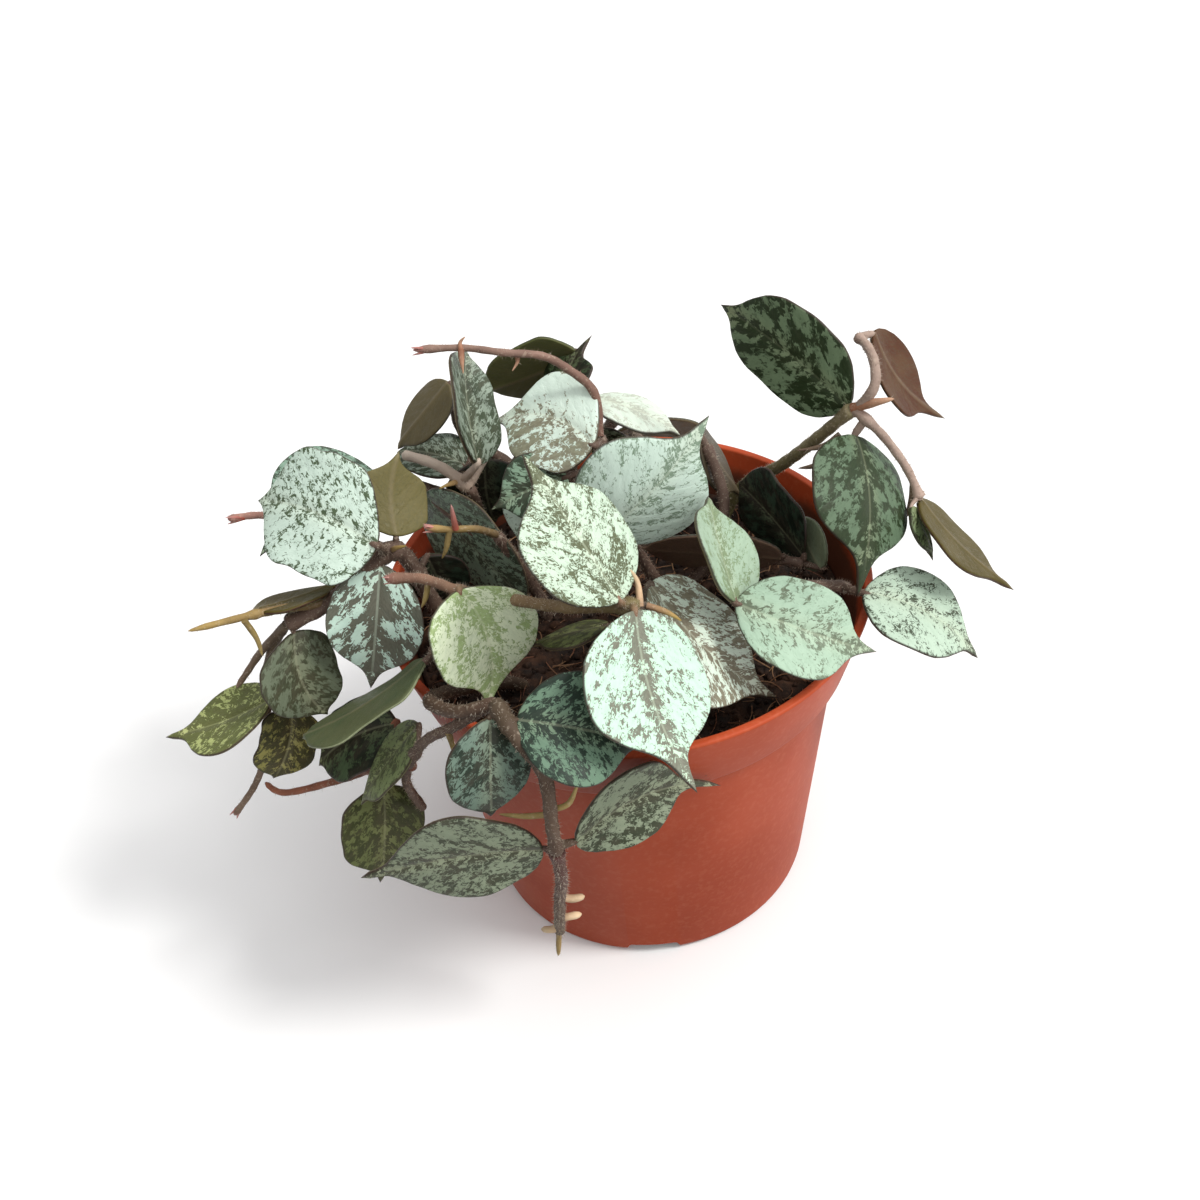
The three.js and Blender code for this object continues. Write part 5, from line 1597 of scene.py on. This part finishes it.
@dataclass
class Soil:
    """The soil that fills the pot, with its crumbs and fibres."""

    pot: Pot
    clearance: float = 0.35
    top: float = 57.0
    waves: tuple[tuple[float, float, float, float], ...] = ((0.7, 0.16, 0.13, 0.6), (0.5, 0.47, -0.39, 0.0))
    rings: int = 44
    segments: int = 150
    ridge_sizes: tuple[float, ...] = (5.0, 2.6, 1.5)
    roughness: float = 0.42
    edge_fade: float = 1.5
    edge_share: float = 0.35
    crumb: float = 0.62
    crumb_sizes: tuple[float, float] = (0.4, 1.7)
    crumbs_per_square_cm: float = 34.0
    fibre_length: float = 6.5
    fibre_sizes: tuple[float, float] = (0.5, 1.3)
    fibre_tilt: float = 0.45
    fibre_bend: tuple[Point, ...] = ((-0.5, 0, 0.0), (0.05, 0.35, 0.22), (0.5, -0.1, -0.02))
    fibre_radius: float = 0.017
    crumb_bumps: float = 900.0
    crumb_bump_reach: float = 0.8
    fibres_per_square_cm: float = 9.0
    seed: int = 11

    def height(self, x: np.ndarray, y: np.ndarray) -> np.ndarray:
        """Gives the height of the uneven top at places."""
        level = np.full_like(x, self.top)
        for high, along_x, along_y, start in self.waves:
            level = level + high * np.sin(x * along_x + y * along_y + start)
        draw = np.random.default_rng(self.seed)
        for size in self.ridge_sizes:
            turn, a, b = draw.uniform(0, 2 * math.pi, 3)
            way_x, way_y = math.cos(turn) * 2 * math.pi / size, math.sin(turn) * 2 * math.pi / size
            ridges = np.sin(x * way_x + a) * np.sin(y * way_y + x * way_y + b)
            level = level + self.roughness * size / self.ridge_sizes[0] * ridges
        return level

    def block(self) -> bpy.types.Object:
        """Builds the filled body with its uneven top."""
        bottom = self.pot.floor_thickness + self.clearance
        reach = self.pot.band_inside(self.top) - self.clearance
        profile = [(0.0, bottom), (self.pot.body_radius(bottom) - self.pot.wall - self.clearance, bottom),
                   (self.pot.body_top_radius - self.pot.wall - self.clearance, self.pot.shoulder_bottom)]
        profile += [(reach * ring / self.rings, self.top) for ring in range(self.rings, -1, -1)]
        obj = lathe("soil_filled", profile, self.segments)
        mesh = obj.data
        points = np.empty(len(mesh.vertices) * 3)
        mesh.vertices.foreach_get("co", points)
        points = points.reshape(-1, 3) / MM
        upper = points[:, 2] > self.top - 0.01
        fade = np.clip((reach - np.hypot(points[:, 0], points[:, 1])) / self.edge_fade, 0, 1)
        level = self.height(points[:, 0], points[:, 1])
        uneven = self.top + (level - self.top) * np.maximum(fade, self.edge_share)
        points[:, 2] = np.where(upper, uneven, points[:, 2])
        mesh.vertices.foreach_set("co", (points * MM).ravel())
        store(mesh, "soil_top", np.where(upper & (fade >= 1), 1.0, 0.0))
        return obj

    def scatter_tree(self) -> bpy.types.NodeTree:
        """Builds the Geometry Nodes that scatter crumbs and fibres over the top."""
        t = new_shape_tree("soil scatter", {
            "Soil": "Geometry", "Crumb size": "Float", "Crumb density": "Float", "Fibre length": "Float",
            "Fibre density": "Float", "Earth": "Material", "Coir": "Material"}, "Dressed")
        tree = t.tree
        given = t.add("NodeGroupInput").outputs
        upper = t.add("GeometryNodeInputNamedAttribute", {"Name": "soil_top"}, data_type="FLOAT").outputs[0]
        joined = t.add("GeometryNodeJoinGeometry")
        earth = t.add("GeometryNodeSetMaterial", {"Geometry": given["Soil"], "Material": given["Earth"]})
        tree.links.new(earth.outputs[0], joined.inputs[0])
        crumb = t.add("GeometryNodeMeshIcoSphere", {"Radius": given["Crumb size"], "Subdivisions": 2})
        bumps = t.add("ShaderNodeTexNoise", {"Scale": self.crumb_bumps, "Detail": 1.0})
        shift = t.vector("MULTIPLY", t.vector("SUBTRACT", bumps.outputs["Color"], (0.5, 0.5, 0.5)),
                         (self.crumb_bump_reach * MM,) * 3)
        rugged = t.add("GeometryNodeSetPosition", {"Geometry": crumb.outputs[0], "Offset": shift})
        arc = t.add("GeometryNodeCurveQuadraticBezier", {"Resolution": 7})
        for name, spot in zip(("Start", "Middle", "End"), self.fibre_bend):
            arc.inputs[name].default_value = spot
        ring = t.add("GeometryNodeCurvePrimitiveCircle", {"Resolution": 4, "Radius": self.fibre_radius})
        strand = t.add("GeometryNodeCurveToMesh", {"Curve": arc.outputs[0], "Profile Curve": ring.outputs[0],
                                                   "Fill Caps": True})
        long = t.add("ShaderNodeCombineXYZ", {axis: given["Fibre length"] for axis in range(3)})
        sized = t.add("GeometryNodeTransform", {"Geometry": strand.outputs[0], "Scale": long.outputs[0]})
        for number, (form, density, spread, sizes, material) in enumerate((
                (rugged, "Crumb density", math.pi, self.crumb_sizes, "Earth"),
                (sized, "Fibre density", self.fibre_tilt, self.fibre_sizes, "Coir"))):
            seed = self.seed + 3 * number
            spots = t.add("GeometryNodeDistributePointsOnFaces", {
                "Mesh": given["Soil"], "Density": t.math("MULTIPLY", given[density], upper), "Seed": seed})
            turn = t.add("FunctionNodeRandomValue", {"Seed": seed + 1}, data_type="FLOAT_VECTOR")
            turn.inputs[0].default_value = (-spread, -spread, 0)
            turn.inputs[1].default_value = (spread, spread, 2 * math.pi)
            copies = t.place_copies(spots, form, turn.outputs[0], sizes, seed + 2, given[material])
            tree.links.new(copies, joined.inputs[0])
        t.add("NodeGroupOutput", {0: joined.outputs[0]})
        return tree

    def dress(self, earth: bpy.types.Material, coir: bpy.types.Material) -> None:
        """Builds the soil and lets it stand for its node."""
        obj = self.block()
        square_cm = (10 * MM) ** 2
        apply_nodes(obj, self.scatter_tree(), {
            "Crumb size": self.crumb * MM,
            "Crumb density": self.crumbs_per_square_cm / square_cm,
            "Fibre length": self.fibre_length * MM,
            "Fibre density": self.fibres_per_square_cm / square_cm,
            "Earth": earth,
            "Coir": coir,
        })
        obj.data.shade_smooth()
        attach(obj, "root")
        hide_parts("soil")
        LOG.info("%s has %d faces", obj.name, len(obj.data.polygons))


@dataclass
class Studio:
    """The pale floor, the soft light and the camera at the photograph's angle."""

    camera_place: Point = (-4.9, -193.3, 229.8)
    camera_fall: float = 40.973
    camera_roll: float = -6.401
    focal_share: float = 1454.25 / 1200
    sensor: float = 36.0
    floor_size: float = 6000.0
    floor_shade: float = 0.93
    floor_mottle: float = 0.005
    floor_roughness: float = 0.9
    floor_shine: float = 0.1
    sky_bright: float = 1.2
    sky_dim: float = 0.12
    sky_azimuth: float = -25.0
    sky_elevation: float = 52.0
    sky_start: float = -0.35
    sky_end: float = 0.85
    backdrop: float = 1.0
    sun: float = 1.9
    sun_azimuth: float = -18.0
    sun_elevation: float = 50.0
    sun_softness: float = 16.0
    sun_tint: Colour = (1.0, 0.985, 0.96)

    def add_camera(self) -> None:
        """Places the camera where the photograph was taken from."""
        fall, roll = math.radians(self.camera_fall), math.radians(self.camera_roll)
        forward = Vector((0, math.cos(fall), -math.sin(fall)))
        level_up = Vector((0, math.sin(fall), math.cos(fall)))
        level_right = Vector((1, 0, 0))
        right = level_right * math.cos(roll) + level_up * math.sin(roll)
        up = level_up * math.cos(roll) - level_right * math.sin(roll)
        lens = bpy.data.cameras.new("camera")
        lens.sensor_width = self.sensor
        lens.lens = self.sensor * self.focal_share
        lens.clip_start = 0.01
        camera = bpy.data.objects.new("camera", lens)
        turn = Matrix((right, up, -forward)).transposed().to_4x4()
        camera.matrix_world = Matrix.Translation(Vector(self.camera_place) * MM) @ turn
        bpy.context.scene.collection.objects.link(camera)
        bpy.context.scene.camera = camera

    def add_floor(self) -> None:
        """Lays the pale floor."""
        half = self.floor_size / 2
        parts = MeshParts()
        corners = np.array([[-half, -half, 0], [half, -half, 0], [half, half, 0], [-half, half, 0]])
        parts.add(corners, [[0, 1, 2, 3]], {})
        floor = parts.build("floor")
        material, t, surface = new_material("pale floor")
        place = t.object_place()
        tint = t.step(t.noise(place, 3.0), 0.3, 0.7)
        low, high = self.floor_shade - self.floor_mottle, self.floor_shade + self.floor_mottle
        colour = t.mix(tint, (low,) * 3, (high,) * 3)
        t.set_surface(surface, colour, self.floor_roughness, self.floor_shine)
        floor.data.materials.append(material)
        floor.visible_diffuse = False

    def add_light(self) -> None:
        """Adds a pale sky, brightest at the upper right, and one soft light from the right."""
        world = bpy.data.worlds.new("studio")
        world.use_nodes = True
        t = Tree(world.node_tree)
        way = t.add("ShaderNodeTexCoord").outputs["Generated"]
        bright_way = tuple(direction(self.sky_azimuth, self.sky_elevation))
        nearness = t.add("ShaderNodeVectorMath", {0: way, 1: bright_way}, operation="DOT_PRODUCT")
        glow = t.step(nearness.outputs["Value"], self.sky_start, self.sky_end, self.sky_dim,
                      self.sky_bright)
        seen = t.add("ShaderNodeLightPath").outputs["Is Camera Ray"]
        strength = t.mix(seen, glow, (self.backdrop,) * 3)
        background = world.node_tree.nodes["Background"]
        t.tree.links.new(strength, background.inputs["Color"])
        bpy.context.scene.world = world
        lamp = bpy.data.lights.new("key", "SUN")
        lamp.energy = self.sun
        lamp.angle = math.radians(self.sun_softness)
        lamp.color = self.sun_tint
        key = bpy.data.objects.new("key", lamp)
        towards = Vector(direction(self.sun_azimuth, self.sun_elevation))
        key.rotation_euler = towards.to_track_quat("Z", "Y").to_euler()
        bpy.context.scene.collection.objects.link(key)
        bpy.context.scene.view_settings.view_transform = "Standard"

    def build(self) -> None:
        """Builds the whole studio."""
        self.add_camera()
        self.add_floor()
        self.add_light()


def main() -> None:
    """Builds the studio, the pot, the soil and every leafy stem."""
    logging.basicConfig(level=logging.INFO, format="%(name)s: %(message)s")
    Studio().build()
    pot = Pot()
    pot.dress(PlasticFinish().material())
    Soil(pot).dress(SoilFinish().material(), CoirFinish().material())
    blade = BladeFinish().material()
    skin = SkinFinish().material()
    hair = HairFinish().material()
    tubes = StemTubes()
    for number, make in enumerate(SHOOTS):
        make().dress(SEEDS_A_SHOOT * (number + 1), tubes, blade, skin, hair)


if __name__ == "__main__":
    main()
